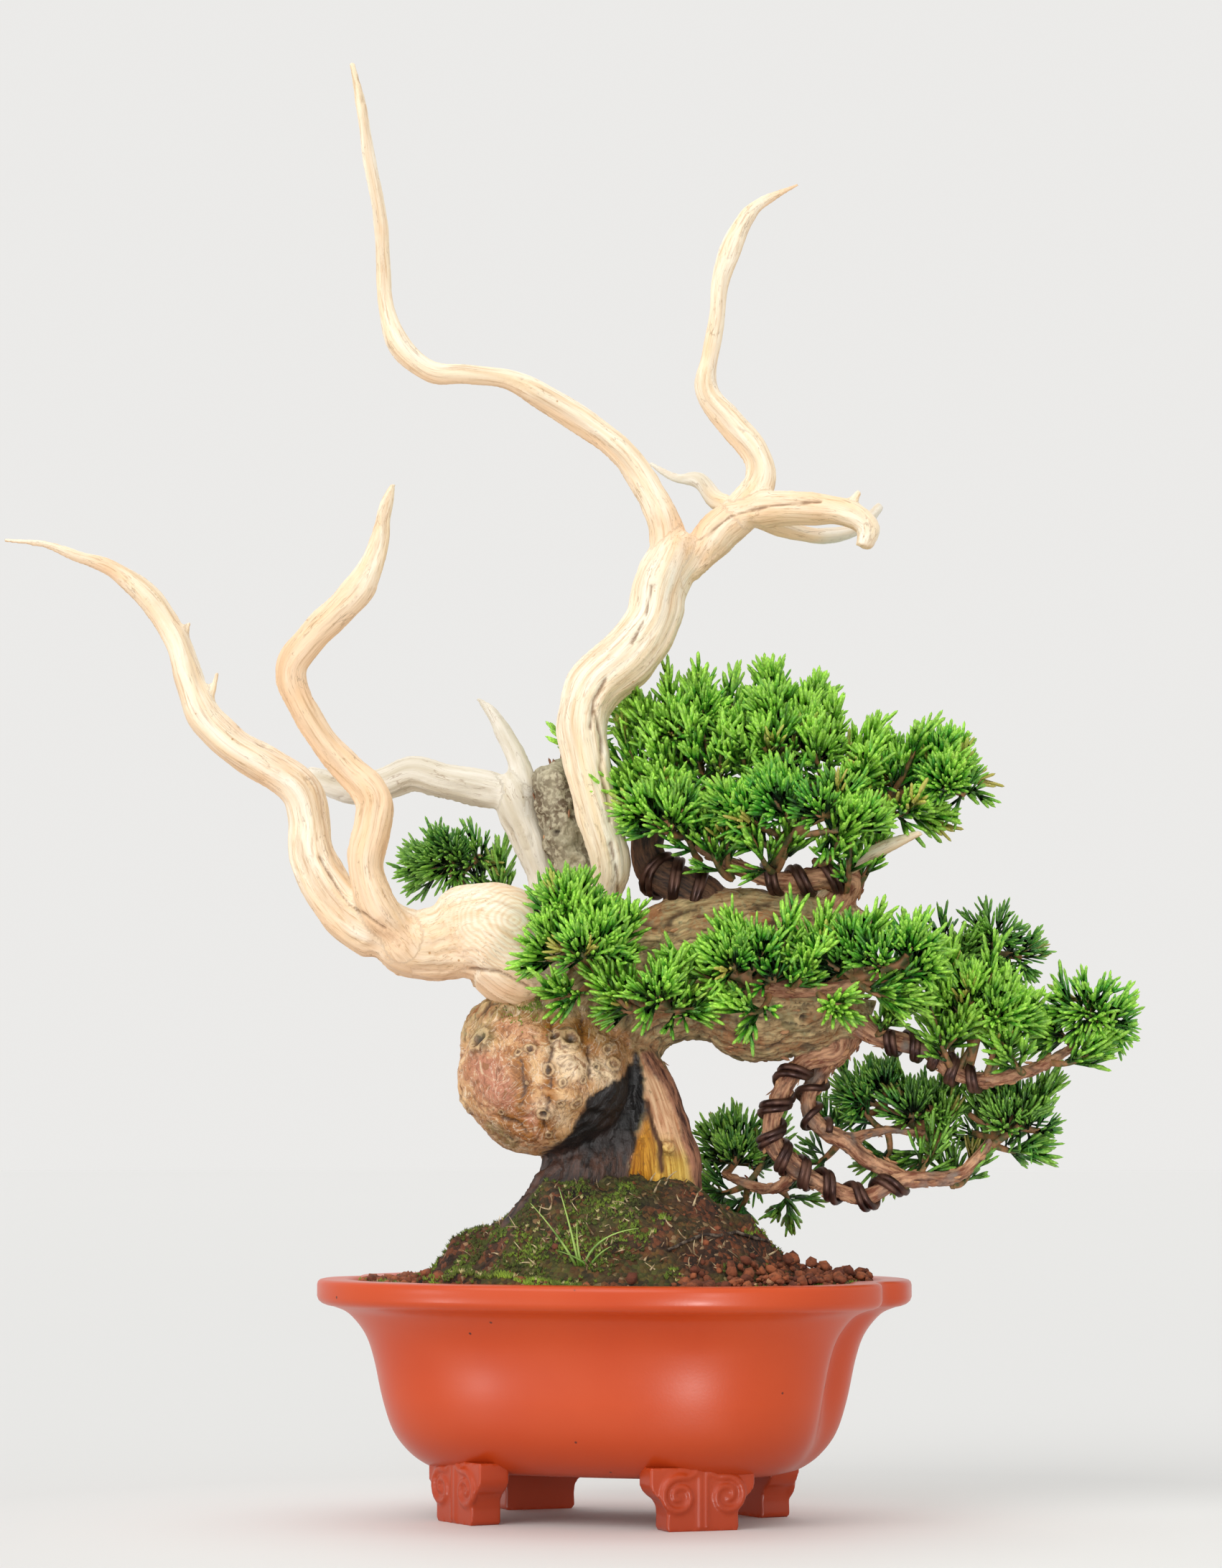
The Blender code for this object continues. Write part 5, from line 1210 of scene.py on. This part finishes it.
# Granules lie thick on the flat, thin on the right of the heap and hardly at all on its mossy left.
draw = random.Random("crumbs")
crumb_places = []
while len(crumb_places) < GRANULES:
    x, y = draw.uniform(-76.0, 76.0), draw.uniform(-56.0, 56.0)
    spot, normal = on_soil(x, y)
    if spot is None:
        continue
    level = spot.z - SOIL_EDGE
    side, _ = turned(x, y)
    likely = 1.0 if level < 4.0 else 0.4 if level < 8.0 and side > 20.0 else 0.12 if side > 8.0 else 0.02
    if side < 16.0 and y < 0.0:
        likely *= 0.08 if side > -50.0 else 1.0
    if draw.random() < likely:
        size = draw.choice(GRANULE_SIZES) * (0.6 if level > 6.0 else 1.0)
        pile = draw.uniform(0.0, 2.6) * (level < 4.0) * (side > 30.0)
        crumb_places.append((spot + UP * (size * 0.3 + pile), normal, size, draw.random()))
# Each granule has its own red, and dust of a millimetre dulls it. One in seventy is a pale chip.
fired_clay = mottled("fired_clay_granules", "#5E2E1E",
                     [("#A45C38", "chance"), ("#C9A57C", "chance", 0.985, 0.99),
                      ("#3A2114", "patches", 0.45, 0.7, 0.0, 0.6)], 900.0, 4.0, {"Roughness": 0.9}, 0.8, 0.5)
scatter("clay_granules", [crumb(seed) for seed in range(8)], crumb_places, fired_clay, "soil")


# Moss: cushions of tiny leafy stems that have grown over the front of the heap and along the lip,
# and over the shaded top of the burl. It is soft and bright green, with dry brown stretches.

GOLDEN_TURN = math.pi * (3.0 - math.sqrt(5.0))
MOSS_TRIES = 24000
MOSS_TUFTS = 4500
BURL_TRIES = 600


def moss_tuft(seed):
    """A few pointed leaves that open from one root."""
    draw = random.Random(seed)
    shape = bmesh.new()
    for number in range(5):
        around = number * GOLDEN_TURN + draw.uniform(-0.4, 0.4)
        lean = draw.uniform(0.15, 0.75)
        way = Vector((math.cos(around) * lean, math.sin(around) * lean, 1.0)).normalized()
        length = draw.uniform(0.9, 1.7)
        turn = way.to_track_quat("Z", "Y").to_matrix().to_4x4()
        turn.translation = way * length * 0.45
        bmesh.ops.create_cone(shape, cap_ends=True, segments=3, radius1=0.3, radius2=0.0, depth=length,
                              matrix=turn)
    return metre_mesh("tuft", shape)


draw = random.Random("moss")
moss_places = []
for _ in range(MOSS_TRIES):
    x, y = draw.uniform(-70.0, 70.0), draw.uniform(-50.0, 50.0)
    spot, normal = on_soil(x, y)
    if spot is None or math.hypot(x / 74.0, y / 54.0) > 1.0 or len(moss_places) > MOSS_TUFTS:
        continue
    cushion = 1.5 * noise.noise(Vector((x, y, 4.0)) * 0.13) + 0.6 * noise.noise(Vector((x, y, 7.0)) * 0.3)
    front_left = max(0.0, 1.0 - math.hypot((x + 14.0) / 50.0, (y + 32.0) / 34.0))
    along_lip = 1.4 * max(0.0, 1.0 - math.hypot((x + 18.0) / 27.0, (y + 48.5) / 6.0))
    if cushion + 1.4 * front_left + along_lip > 0.42 + draw.uniform(0.0, 0.25):
        bright = min(0.92, draw.random() * 0.5 + 0.6 * along_lip + 0.35 * max(0.0, cushion))
        size = draw.uniform(0.7, 1.2) + 0.35 * min(along_lip, 1.0)
        moss_places.append((spot - normal * 0.2, (normal + UP * 0.8).normalized(), size,
                            bright if draw.random() < 0.96 else 0.98))
for _ in range(BURL_TRIES):
    hit, normal = find_seen(live_finder, draw.gauss(-23.0, 4.0), draw.gauss(142.0, 3.0))
    if hit and noise.noise(hit * 0.35) > 0.0:
        moss_places.append((hit, (normal + UP * 0.6).normalized(), draw.uniform(0.35, 0.6),
                            draw.uniform(0.5, 0.92)))
# Tufts run from deep to bright green, one in 25 is straw, and brown patches are a centimetre wide.
moss = mottled("cushion_moss", "#26340E",
               [("#9CB838", "chance"), ("#3E3A1A", "patches", 0.46, 0.6, 0.0, 0.75),
                ("#CDBE84", "chance", 0.94, 0.96)], 70.0, 4.0, {"Roughness": 0.85}, 0.3, 0.3)
scatter("moss_cushions", [moss_tuft(seed) for seed in range(8)], moss_places, moss, "soil")


# Litter: dead needles and moss stalks that fell on the heap, a fallen twig that lies across it, and a
# few blades of young grass that grow from it.

NEEDLES = 130
TWIG = ((15.0, 73.0), (20.0, 75.4), (25.0, 77.4), (29.0, 77.0), (34.0, 78.0), (39.0, 76.4), (43.0, 75.6))
# Blades as (way, length, bend), both as (to the right, behind, up).
BLADES = (((-0.5, -0.1, 1.0), 21.0, (-0.7, 0.0, 0.5)), ((-0.2, -0.1, 1.0), 22.0, (-0.15, 0.0, 0.2)),
          ((-0.3, -0.2, 1.0), 12.0, (0.3, 0.0, 0.2)), ((0.1, -0.1, 1.0), 19.0, (1.9, 0.0, -0.4)),
          ((-0.9, -0.2, 0.8), 9.0, (-0.4, 0.0, -0.3)), ((0.5, -0.2, 1.0), 8.0, (0.5, 0.0, -0.4)))


def bent_run(start, way, length, bend, radius, steps):
    """A thin run that starts one way and bends another, tapered to its tip."""
    run = []
    place, ahead = start.copy(), way.normalized()
    for index in range(steps + 1):
        run.append((place.copy(), radius * (1.0 - 0.8 * index / steps)))
        ahead = (ahead + bend * (1.0 / steps)).normalized()
        place = place + ahead * (length / steps)
    return run


draw = random.Random("litter")
litter = []
while len(litter) < NEEDLES:
    spot, _ = find_seen(soil_finder, draw.uniform(-44.0, 44.0), draw.uniform(68.0, 95.0))
    if spot is not None and spot.z > SOIL_EDGE + 1.0:
        way = Vector((draw.uniform(-1.0, 1.0), draw.uniform(-1.0, 0.2), draw.uniform(0.1, 1.2)))
        bend = Vector([draw.uniform(-0.9, 0.9) for _ in range(3)])
        litter.append(tube(bent_run(spot, way, draw.uniform(1.2, 4.6), bend, draw.uniform(0.16, 0.4), 3), 6))
# The bits are dull brown and bleached by turns, a few millimetres at a time.
dead_matter = mottled("dead_needles", "#6A4A2C", [("#D8C298", "patches", 0.4, 0.62)], 330.0, 2.0,
                      {"Roughness": 0.85})
dress("needle_litter", joined(litter), [dead_matter], "soil")

# The twig's thin bark is scuffed pale, 2 mm at a time.
twig = [(find_seen(soil_finder, *spot)[0] + UP * 0.8, 0.5 if number < 6 else 0.3)
        for number, spot in enumerate(TWIG)]
fallen = mottled("fallen_twig_bark", "#2A1C14", [("#8A7A68", "patches", 0.45, 0.7)], 500.0, 3.0,
                 {"Roughness": 0.8})
dress("fallen_twig", tube(twig, 8), [fallen], "soil")

blades = []
for (side, behind, up), length, (curl_side, _, curl_up) in BLADES:
    root, _ = find_seen(soil_finder, -10.5 + 0.8 * len(blades), 69.5)
    lean = RIGHTWARDS * side + AWAY * behind + UP * up
    blades.append(tube(bent_run(root, lean, length, RIGHTWARDS * curl_side + UP * curl_up, 0.42, 10), 6))
# Blades are waxy, with paler stretches of a few millimetres.
grass = mottled("young_grass_blades", "#5E8A2A", [("#A8C864", "patches", 0.35, 0.65)], 150.0, 1.0,
                {"Roughness": 0.5})
dress("grass_blades", joined(blades), [grass], "soil")


# Shaping wire: soft annealed aluminium with a dark brown anodised skin, 2 mm thick, wound by hand round
# the live branches, in places two strands side by side.

WIRE_RADIUS = 1.0
WIRE_GAP = -0.2
TURN_POINTS = 16
# Coils as (node, branch, first and last share of its length, turns, start in radians, strands).
WIRES = (
    ("wire_upper", LOOP_BRANCH, 0.13, 0.35, 2.8, 0.0, 2),
    ("wire_under", UNDER_BRANCH, 0.30, 0.62, 3.0, 1.0, 2),
    ("wire_left_strand", LEFT_STRAND, 0.14, 0.72, 8.0, 0.5, 2),
    ("wire_right_strand", RIGHT_STRAND, 0.30, 0.62, 2.5, 2.0, 1),
    ("wire_right", RIGHT_BRANCH, 0.16, 0.60, 4.5, 1.5, 2),
)


def wire_run(route, first, last, turns, start, lag):
    """A coil of wire between two shares of a branch's length, as a run of (place, radius)."""
    stretches = with_axes(smooth_route(route, 8))
    count = int(turns * TURN_POINTS)
    coil = []
    for step in range(count + 1):
        along = (first + (last - first) * (step / count + lag)) * (len(stretches) - 1)
        lower = max(0, min(int(along), len(stretches) - 2))
        share = along - lower
        (place, radius, _, side, up), (far, far_radius, _, far_side, far_up) = stretches[lower:lower + 2]
        angle = start + 2.0 * math.pi * step / TURN_POINTS
        reach = radius + (far_radius - radius) * share + WIRE_RADIUS + WIRE_GAP
        outwards = side.lerp(far_side, share) * math.cos(angle) + up.lerp(far_up, share) * math.sin(angle)
        coil.append((place.lerp(far, share) + outwards * reach, WIRE_RADIUS))
    return coil


anodised, tree, place = new_finish("brown_anodised_aluminium", {"Metallic": 0.55, "Roughness": 0.42})
# Handling has rubbed and dusted the skin in patches of a few millimetres.
rubbed = add_node(tree, "TexNoise", {"Vector": place, "Scale": 260.0, "Detail": 5.0})
dull = add_node(tree, "MapRange", {"Value": rubbed, "From Min": 0.35, "From Max": 0.7, "To Min": 0.32,
                                   "To Max": 0.6})
finish_skin(tree, toned(tree, "#38211C", ("#6B4A3C", rubbed, 0.4, 0.68)), rubbed, 0.2, 0.2, dull)
for node, route, first, last, turns, start, strands in WIRES:
    coils = [tube(wire_run(route, first, last, turns, start, 0.2 / turns * strand), 10)
             for strand in range(strands)]
    dress(node.replace("wire", "coil"), joined(coils), [anodised], "wire", node)


# Foliage: sprays of cord-like shoots covered in tiny overlapping scale leaves. Each spray stands on its
# own thin stems, and every shoot forks into shorter cords that turn up towards the light.

SHADED_SPRAYS = ("spray_back_left", "spray_low_left", "spray_low_middle", "spray_low_right",
                 "spray_right_back", "spray_back_tips")
SUNLIT_SPRAYS = ("spray_top_left", "spray_top_back", "spray_top_centre", "spray_top_front_left",
                 "spray_top_front", "spray_top_right", "spray_left_upper", "spray_left_front",
                 "spray_left_low", "spray_middle_left", "spray_middle", "spray_right", "spray_far_right")
# Sprays that hang level or droop, where the others turn up.
DROOPING_SPRAYS = ("spray_far_right", "spray_right_back", "spray_back_left")
CORD_SIDES = 4
# Rings of a cord, as (share of its length, share of its radius).
CORD_RINGS = ((0.0, 0.75), (0.5, 1.0), (0.9, 0.78))
FROND_LENGTH = 12.8
FROND_RADIUS = 0.74
FROND_KINDS = 12
SIDE_CORDS = 5
EXTRA_FRONDS = 0.45
BOUGH_FRONDS = 9
BOUGH_STEPS = 8
SHARES = ("along", "chance", "outer", "dry")
# Young boughs that fill the canopy between the sprays, as (root, tip) in seen places.
SUNLIT_BOUGHS = (
    ((28, 201, 8), (13, 210, -6)), ((16, 197, 7), (8, 203, 4)), ((60, 203, 6), (71, 214, 3)),
    ((44, 203, 8), (36, 211, -12)), ((60, 203, 6), (70, 207, -14)), ((33, 177, -7), (26, 190, -18)),
    ((45, 179, -8), (38, 190, -22)), ((56, 182, -8), (63, 189, -22)), ((64, 172, -4), (74, 189, -14)),
    ((28, 201, 8), (33, 226, 10)), ((44, 203, 8), (53, 220, 12)), ((74, 200, 4), (84, 213, -12)),
    ((74, 200, 4), (82, 196, -14)), ((28, 201, 8), (24, 222, 22)), ((44, 203, 8), (44, 206, 26)),
    ((60, 203, 6), (72, 212, 24)), ((44, 147, -25), (21, 152, -32)), ((-5, 150, -21), (4, 163, -30)),
    ((44, 147, -25), (48, 161, -34)), ((68, 148, -31), (86, 152, -26)), ((95, 123, -3), (88, 143, -16)),
    ((103, 121, -3), (114, 137, -8)), ((95, 123, -3), (94, 153, -6)), ((56, 146, -30), (58, 160, -30)),
    ((8, 141, -26), (24, 141, -34)), ((-14, 157, -27), (-12, 165, -32)), ((89, 128, -4), (96, 134, -16)),
    ((16, 197, 7), (14, 203, -12)), ((24, 182, -4), (20, 194, -16)), ((28, 201, 8), (30, 212, -10)),
    ((60, 203, 6), (56, 213, -10)), ((16, 203, 12), (-9, 212, 16)), ((-5, 150, -21), (-14, 145, -31)),
    ((8, 141, -26), (-3, 149, -34)), ((8, 141, -26), (14, 147, -36)), ((95, 123, -3), (105, 151, -8)),
    ((28, 201, 8), (22, 215, -6)), ((16, 197, 7), (4, 213, 2)), ((45, 179, -8), (50, 193, -20)),
    ((33, 177, -7), (32, 193, -20)), ((64, 172, -4), (66, 191, -20)), ((44, 203, 8), (42, 214, -14)),
    ((74, 200, 4), (86, 194, 2)), ((74, 200, 4), (91, 208, 0)), ((56, 146, -30), (61, 141, -37)),
    ((68, 148, -31), (78, 143, -32)), ((60, 203, 6), (61, 220, -2)), ((28, 201, 8), (16, 226, 2)),
    ((60, 203, 6), (88, 211, 10)), ((44, 147, -25), (54, 152, -37)), ((16, 197, 7), (2, 200, -6)),
    ((103, 121, -3), (109, 142, -12)), ((44, 147, -25), (36, 140, -36)), ((56, 146, -30), (70, 160, -32)),
    ((44, 147, -25), (35, 160, -32)), ((74, 200, 4), (92, 207, -6)), ((114, 123, -3), (108, 132, -14)),
    ((121, 126, -2), (132, 128, -6)), ((72, 134, -4), (77, 140, -10)), ((28, 201, 8), (8, 221, 0)),
    ((28, 201, 8), (24, 227, 2)),
)
SHADED_BOUGHS = (
    ((90, 105, 11), (95, 119, 12)), ((76, 107, 9), (65, 121, 14)), ((80, 91, 3), (92, 108, 6)),
    ((37, 92, 14), (44, 104, 20)), ((76, 152, 16), (82, 150, 22)), ((105, 103, 6), (119, 116, 6)),
    ((94, 92, 4), (101, 101, 12)), ((37, 92, 14), (28, 90, 20)), ((92, 154, 22), (103, 151, 20)),
    ((92, 154, 22), (97, 156, 18)), ((-30, 167, 42), (-32, 178, 40)), ((90, 105, 11), (80, 118, 16)),
    ((63, 104, 5), (58, 111, 16)), ((76, 107, 9), (74, 100, 14)), ((90, 105, 11), (82, 97, 14)),
    ((63, 104, 5), (55, 98, 14)), ((105, 103, 6), (112, 101, 8)), ((76, 107, 9), (84, 112, 18)),
    ((94, 92, 4), (91, 98, 12)), ((45, 91, 6), (48, 87, 14)), ((37, 92, 14), (34, 84, 22)),
)


def add_cord(shape, start, way, bend, length, radius, chance):
    """One cord: round, slowly thinner, bent towards the light, with a blunt tip."""
    along_of, chance_of = [shape.verts.layers.float[name] for name in ("along", "chance")]
    turn = way.to_track_quat("Z", "Y").to_matrix().to_4x4()
    turn.translation = start
    ring = bmesh.ops.create_circle(shape, cap_ends=True, segments=CORD_SIDES,
                                   radius=radius * CORD_RINGS[0][1], matrix=turn)["verts"]
    face = ring[0].link_faces[0]
    place = start
    for vertex in ring:
        vertex[along_of], vertex[chance_of] = 0.0, chance
    for (before, _), (share, thickness) in zip(CORD_RINGS, CORD_RINGS[1:]):
        made = bmesh.ops.extrude_face_region(shape, geom=[face], use_keep_orig=before == 0.0)["geom"]
        face = next(item for item in made if isinstance(item, bmesh.types.BMFace))
        way = (way + bend * (share - before)).normalized()
        place = place + way * (length * (share - before))
        turn = way.to_track_quat("Z", "Y").to_matrix()
        for number, vertex in enumerate(face.verts):
            around = 2.0 * math.pi * number / CORD_SIDES
            vertex.co = place + turn @ Vector((math.cos(around), math.sin(around), 0.0)) * radius * thickness
            vertex[along_of], vertex[chance_of] = share, chance
    tip = bmesh.ops.poke(shape, faces=[face])["verts"][0]
    tip.co = place + way * (length * (1.0 - CORD_RINGS[-1][0]) + radius * 0.15)
    tip[along_of], tip[chance_of] = 1.0, chance


def frond(seed):
    """A main cord with shorter cords all round it, growing along +Z."""
    draw = random.Random(seed)
    shape = bmesh.new()
    for layer in SHARES[:2]:
        shape.verts.layers.float.new(layer)
    sway = Vector((draw.uniform(-0.25, 0.25), draw.uniform(-0.25, 0.25), 0.0))
    add_cord(shape, Vector(), UP, sway, FROND_LENGTH, FROND_RADIUS, draw.random())
    for number in range(SIDE_CORDS):
        share = 0.1 + 0.5 * number / (SIDE_CORDS - 1)
        around = number * GOLDEN_TURN + draw.uniform(-0.3, 0.3)
        opening = math.radians(draw.uniform(24.0, 40.0))
        outwards = Vector((math.cos(around), math.sin(around), 0.0))
        way = outwards * math.sin(opening) + UP * math.cos(opening)
        start = (UP + sway * share * 0.5) * FROND_LENGTH * share
        length = FROND_LENGTH * 0.86 * (1.0 - 0.5 * share) * draw.uniform(0.75, 1.15)
        add_cord(shape, start, way, UP * 0.4 - outwards * 0.1, length,
                 FROND_RADIUS * draw.uniform(0.86, 0.98), draw.random())
    return metre_mesh("frond", shape)


def shoots_of(shape):
    """The free shoots of a spray's solid, as (tip vertex, its place, middle of its foot)."""
    found = []
    for vertex in shape.verts:
        if len(vertex.link_edges) == 4:
            others = [edge.other_vert(vertex).co for edge in vertex.link_edges]
            ways = sum(((other - vertex.co).normalized() for other in others), Vector()) / 4.0
            if ways.length > 0.9:
                found.append((vertex, vertex.co.copy(), sum(others, Vector()) / 4.0))
    return found


def add_frond(shape, draw, foot, way, scale, thickness, outer):
    """Merge one frond, grown from a foot in metres, into a spray, inside the solids' box."""
    copy = turned_copy(fronds, draw, foot, way, (scale * thickness, scale * thickness, scale))
    places, _ = read_vertices(copy)
    under, over = [edge(places, axis=0) - np.array(corner) / MM
                   for edge, corner in zip((np.min, np.max), cad_box)]
    push = np.minimum(under, 0.0) + np.maximum(over, 0.0)
    copy.transform(Matrix.Translation(Vector(-push) * MM))
    merge_copy(shape, copy, outer=outer, dry=draw.random())


def spread(draw, amount):
    """A random push in any direction."""
    return Vector([draw.uniform(-amount, amount) for _ in range(3)])


def grow_spray(node, leaves, slot, thickness):
    """Fronds on every shoot of a spray's solid, on stems left from the same solid."""
    draw = random.Random(node)
    shape = bmesh.new()
    shape.from_mesh(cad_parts[node].data)
    bmesh.ops.remove_doubles(shape, verts=shape.verts, dist=0.000001)
    root = min((vertex.co for vertex in shape.verts), key=lambda place: place.z).copy()
    shoots = shoots_of(shape)
    middle = sum((place for _, place, _ in shoots), Vector()) / len(shoots)
    reach = max((place - middle).length for _, place, _ in shoots)
    for tip, place, foot in shoots:
        tip.co = foot + (place - foot).normalized() * 0.4 * MM
    for face in shape.faces:
        face.material_index = 1
    for layer in SHARES:
        shape.verts.layers.float.new(layer)
    for _, place, foot in shoots:
        # Painted light grows with a shoot's distance from the spray's middle and with its height in the
        # spray.
        outer = (place - middle).length / reach + 0.35 * (place.z - middle.z) / reach
        own, away = (place - foot).normalized(), (foot - root).normalized()
        size = max(0.66, min(1.04, (place - foot).length / (FROND_LENGTH * MM)))
        # Shoots at the underside hang on; those above turn up.
        lift = -0.4 if node in DROOPING_SPRAYS else 0.12 + 0.34 * max(0.0, own.z + 0.15)
        for number in range(2 if draw.random() < EXTRA_FRONDS else 1):
            way = own * 0.65 + away * 0.45 + UP * lift + spread(draw, 0.12 + 0.4 * number)
            add_frond(shape, draw, foot, way.normalized(), size * draw.uniform(0.86, 1.0), thickness, outer)
    dress(node.replace("spray", "foliage"), as_mesh(node, shape), [leaves, stems], slot, node)


def grow_boughs(name, boughs, leaves, slot, thickness):
    """Slim young boughs with fronds all round their outer half."""
    draw = random.Random(name)
    shape = bmesh.new()
    for layer in SHARES:
        shape.verts.layers.float.new(layer)
    grown = []
    for root, tip in boughs:
        start, end = seen(*root), seen(*tip)
        bow = UP * (-0.12 * (end - start).length) + spread(draw, 1.5)
        run = []
        for index in range(BOUGH_STEPS + 1):
            share = index / BOUGH_STEPS
            run.append((start.lerp(end, share) + bow * (4.0 * share * (1.0 - share)), 1.15 - 0.6 * share))
        stem = tube(run, 6)
        shape.from_mesh(stem)
        bpy.data.meshes.remove(stem)
        for number in range(BOUGH_FRONDS):
            share = 0.35 + 0.65 * number / (BOUGH_FRONDS - 1)
            index = min(BOUGH_STEPS - 1, int(share * BOUGH_STEPS))
            here, there = run[index][0], run[index + 1][0]
            ahead = (there - here).normalized()
            aside = Matrix.Rotation(number * GOLDEN_TURN, 3, ahead) @ ahead.orthogonal().normalized()
            way = ahead * (0.5 + share) + aside * (1.1 - 0.8 * share) + UP * 0.35 + spread(draw, 0.15)
            place = here.lerp(there, share * BOUGH_STEPS - index)
            # Fronds further out along a bough get more painted light.
            grown.append((place, way.normalized(), 0.5 + 0.6 * share))
    for face in shape.faces:
        face.material_index = 1
    for place, way, outer in grown:
        add_frond(shape, draw, place * MM, way, draw.uniform(0.78, 1.0), thickness, outer)
    dress(name, as_mesh(name, shape), [leaves, stems], slot)


def scale_leaf(name, deep, body, yellowish, bright, dry):
    """Living juniper shoots: waxy scale leaves with a soft shine where they catch the light."""
    finish, tree, place = new_finish(name, {"Roughness": 0.48})
    # Scale leaves are about 0.9 mm across, raised in the middle and dark in the joint between two.
    scales = add_node(tree, "TexVoronoi", {"Vector": place, "Scale": 1100.0})
    patches = add_node(tree, "TexNoise", {"Vector": place, "Scale": 130.0, "Detail": 3.0})
    # Some boughs are yellower than others, over a few centimetres.
    yellowed = add_node(tree, "TexNoise", {"Vector": place, "Scale": 38.0, "Detail": 2.0})
    body = toned(tree, body, (yellowish, yellowed, 0.4, 0.6))
    # Painted light: shoots are painted brightest at their tips and on the outside and top of each spray,
    # with painted shade at their bases and inside.
    light = weighed(tree, -0.58, ("along", 0.85), ("outer", 0.7), ("chance", 0.22))
    colour = toned(tree, deep, (body, light, 0.06, 0.48), (bright, light, 0.48, 0.88),
                   (deep, patches, 0.4, 0.7, 0.0, 0.35), (deep, scales, 0.25, 0.7, 0.0, 0.4),
                   (dry, "dry", 0.965, 0.985, 0.0, 0.8))
    finish_skin(tree, colour, scales, -0.45, 0.5)
    return finish


# Young stems are thin-skinned and go from green to reddish brown over 2 or 3 mm.
stems = mottled("young_juniper_stems", "#565628", [("#A8744A", "patches", 0.4, 0.6)], 400.0, 4.0,
                {"Roughness": 0.7}, 0.5, 0.4)
# The shaded leaves are a darker, bluer copy of the sunlit ones: painted shade on the low and back sprays and
# boughs.
sunlit_leaves = scale_leaf("sunlit_scale_leaves", "#144016", "#48B41C", "#78C424", "#BCFC54", "#C9B258")
shaded_leaves = scale_leaf("shaded_scale_leaves", "#163A1C", "#459A2E", "#6EAE32", "#A4E254", "#B09A50")
fronds = [frond(seed) for seed in range(FROND_KINDS)]
for node in SUNLIT_SPRAYS:
    grow_spray(node, sunlit_leaves, "shoots", 1.0)
for node in SHADED_SPRAYS:
    grow_spray(node, shaded_leaves, "shaded_shoots", 0.85)
grow_boughs("foliage_young_boughs", SUNLIT_BOUGHS, sunlit_leaves, "shoots", 1.0)
grow_boughs("foliage_shaded_boughs", SHADED_BOUGHS, shaded_leaves, "shaded_shoots", 0.85)
for template in fronds:
    bpy.data.meshes.remove(template)
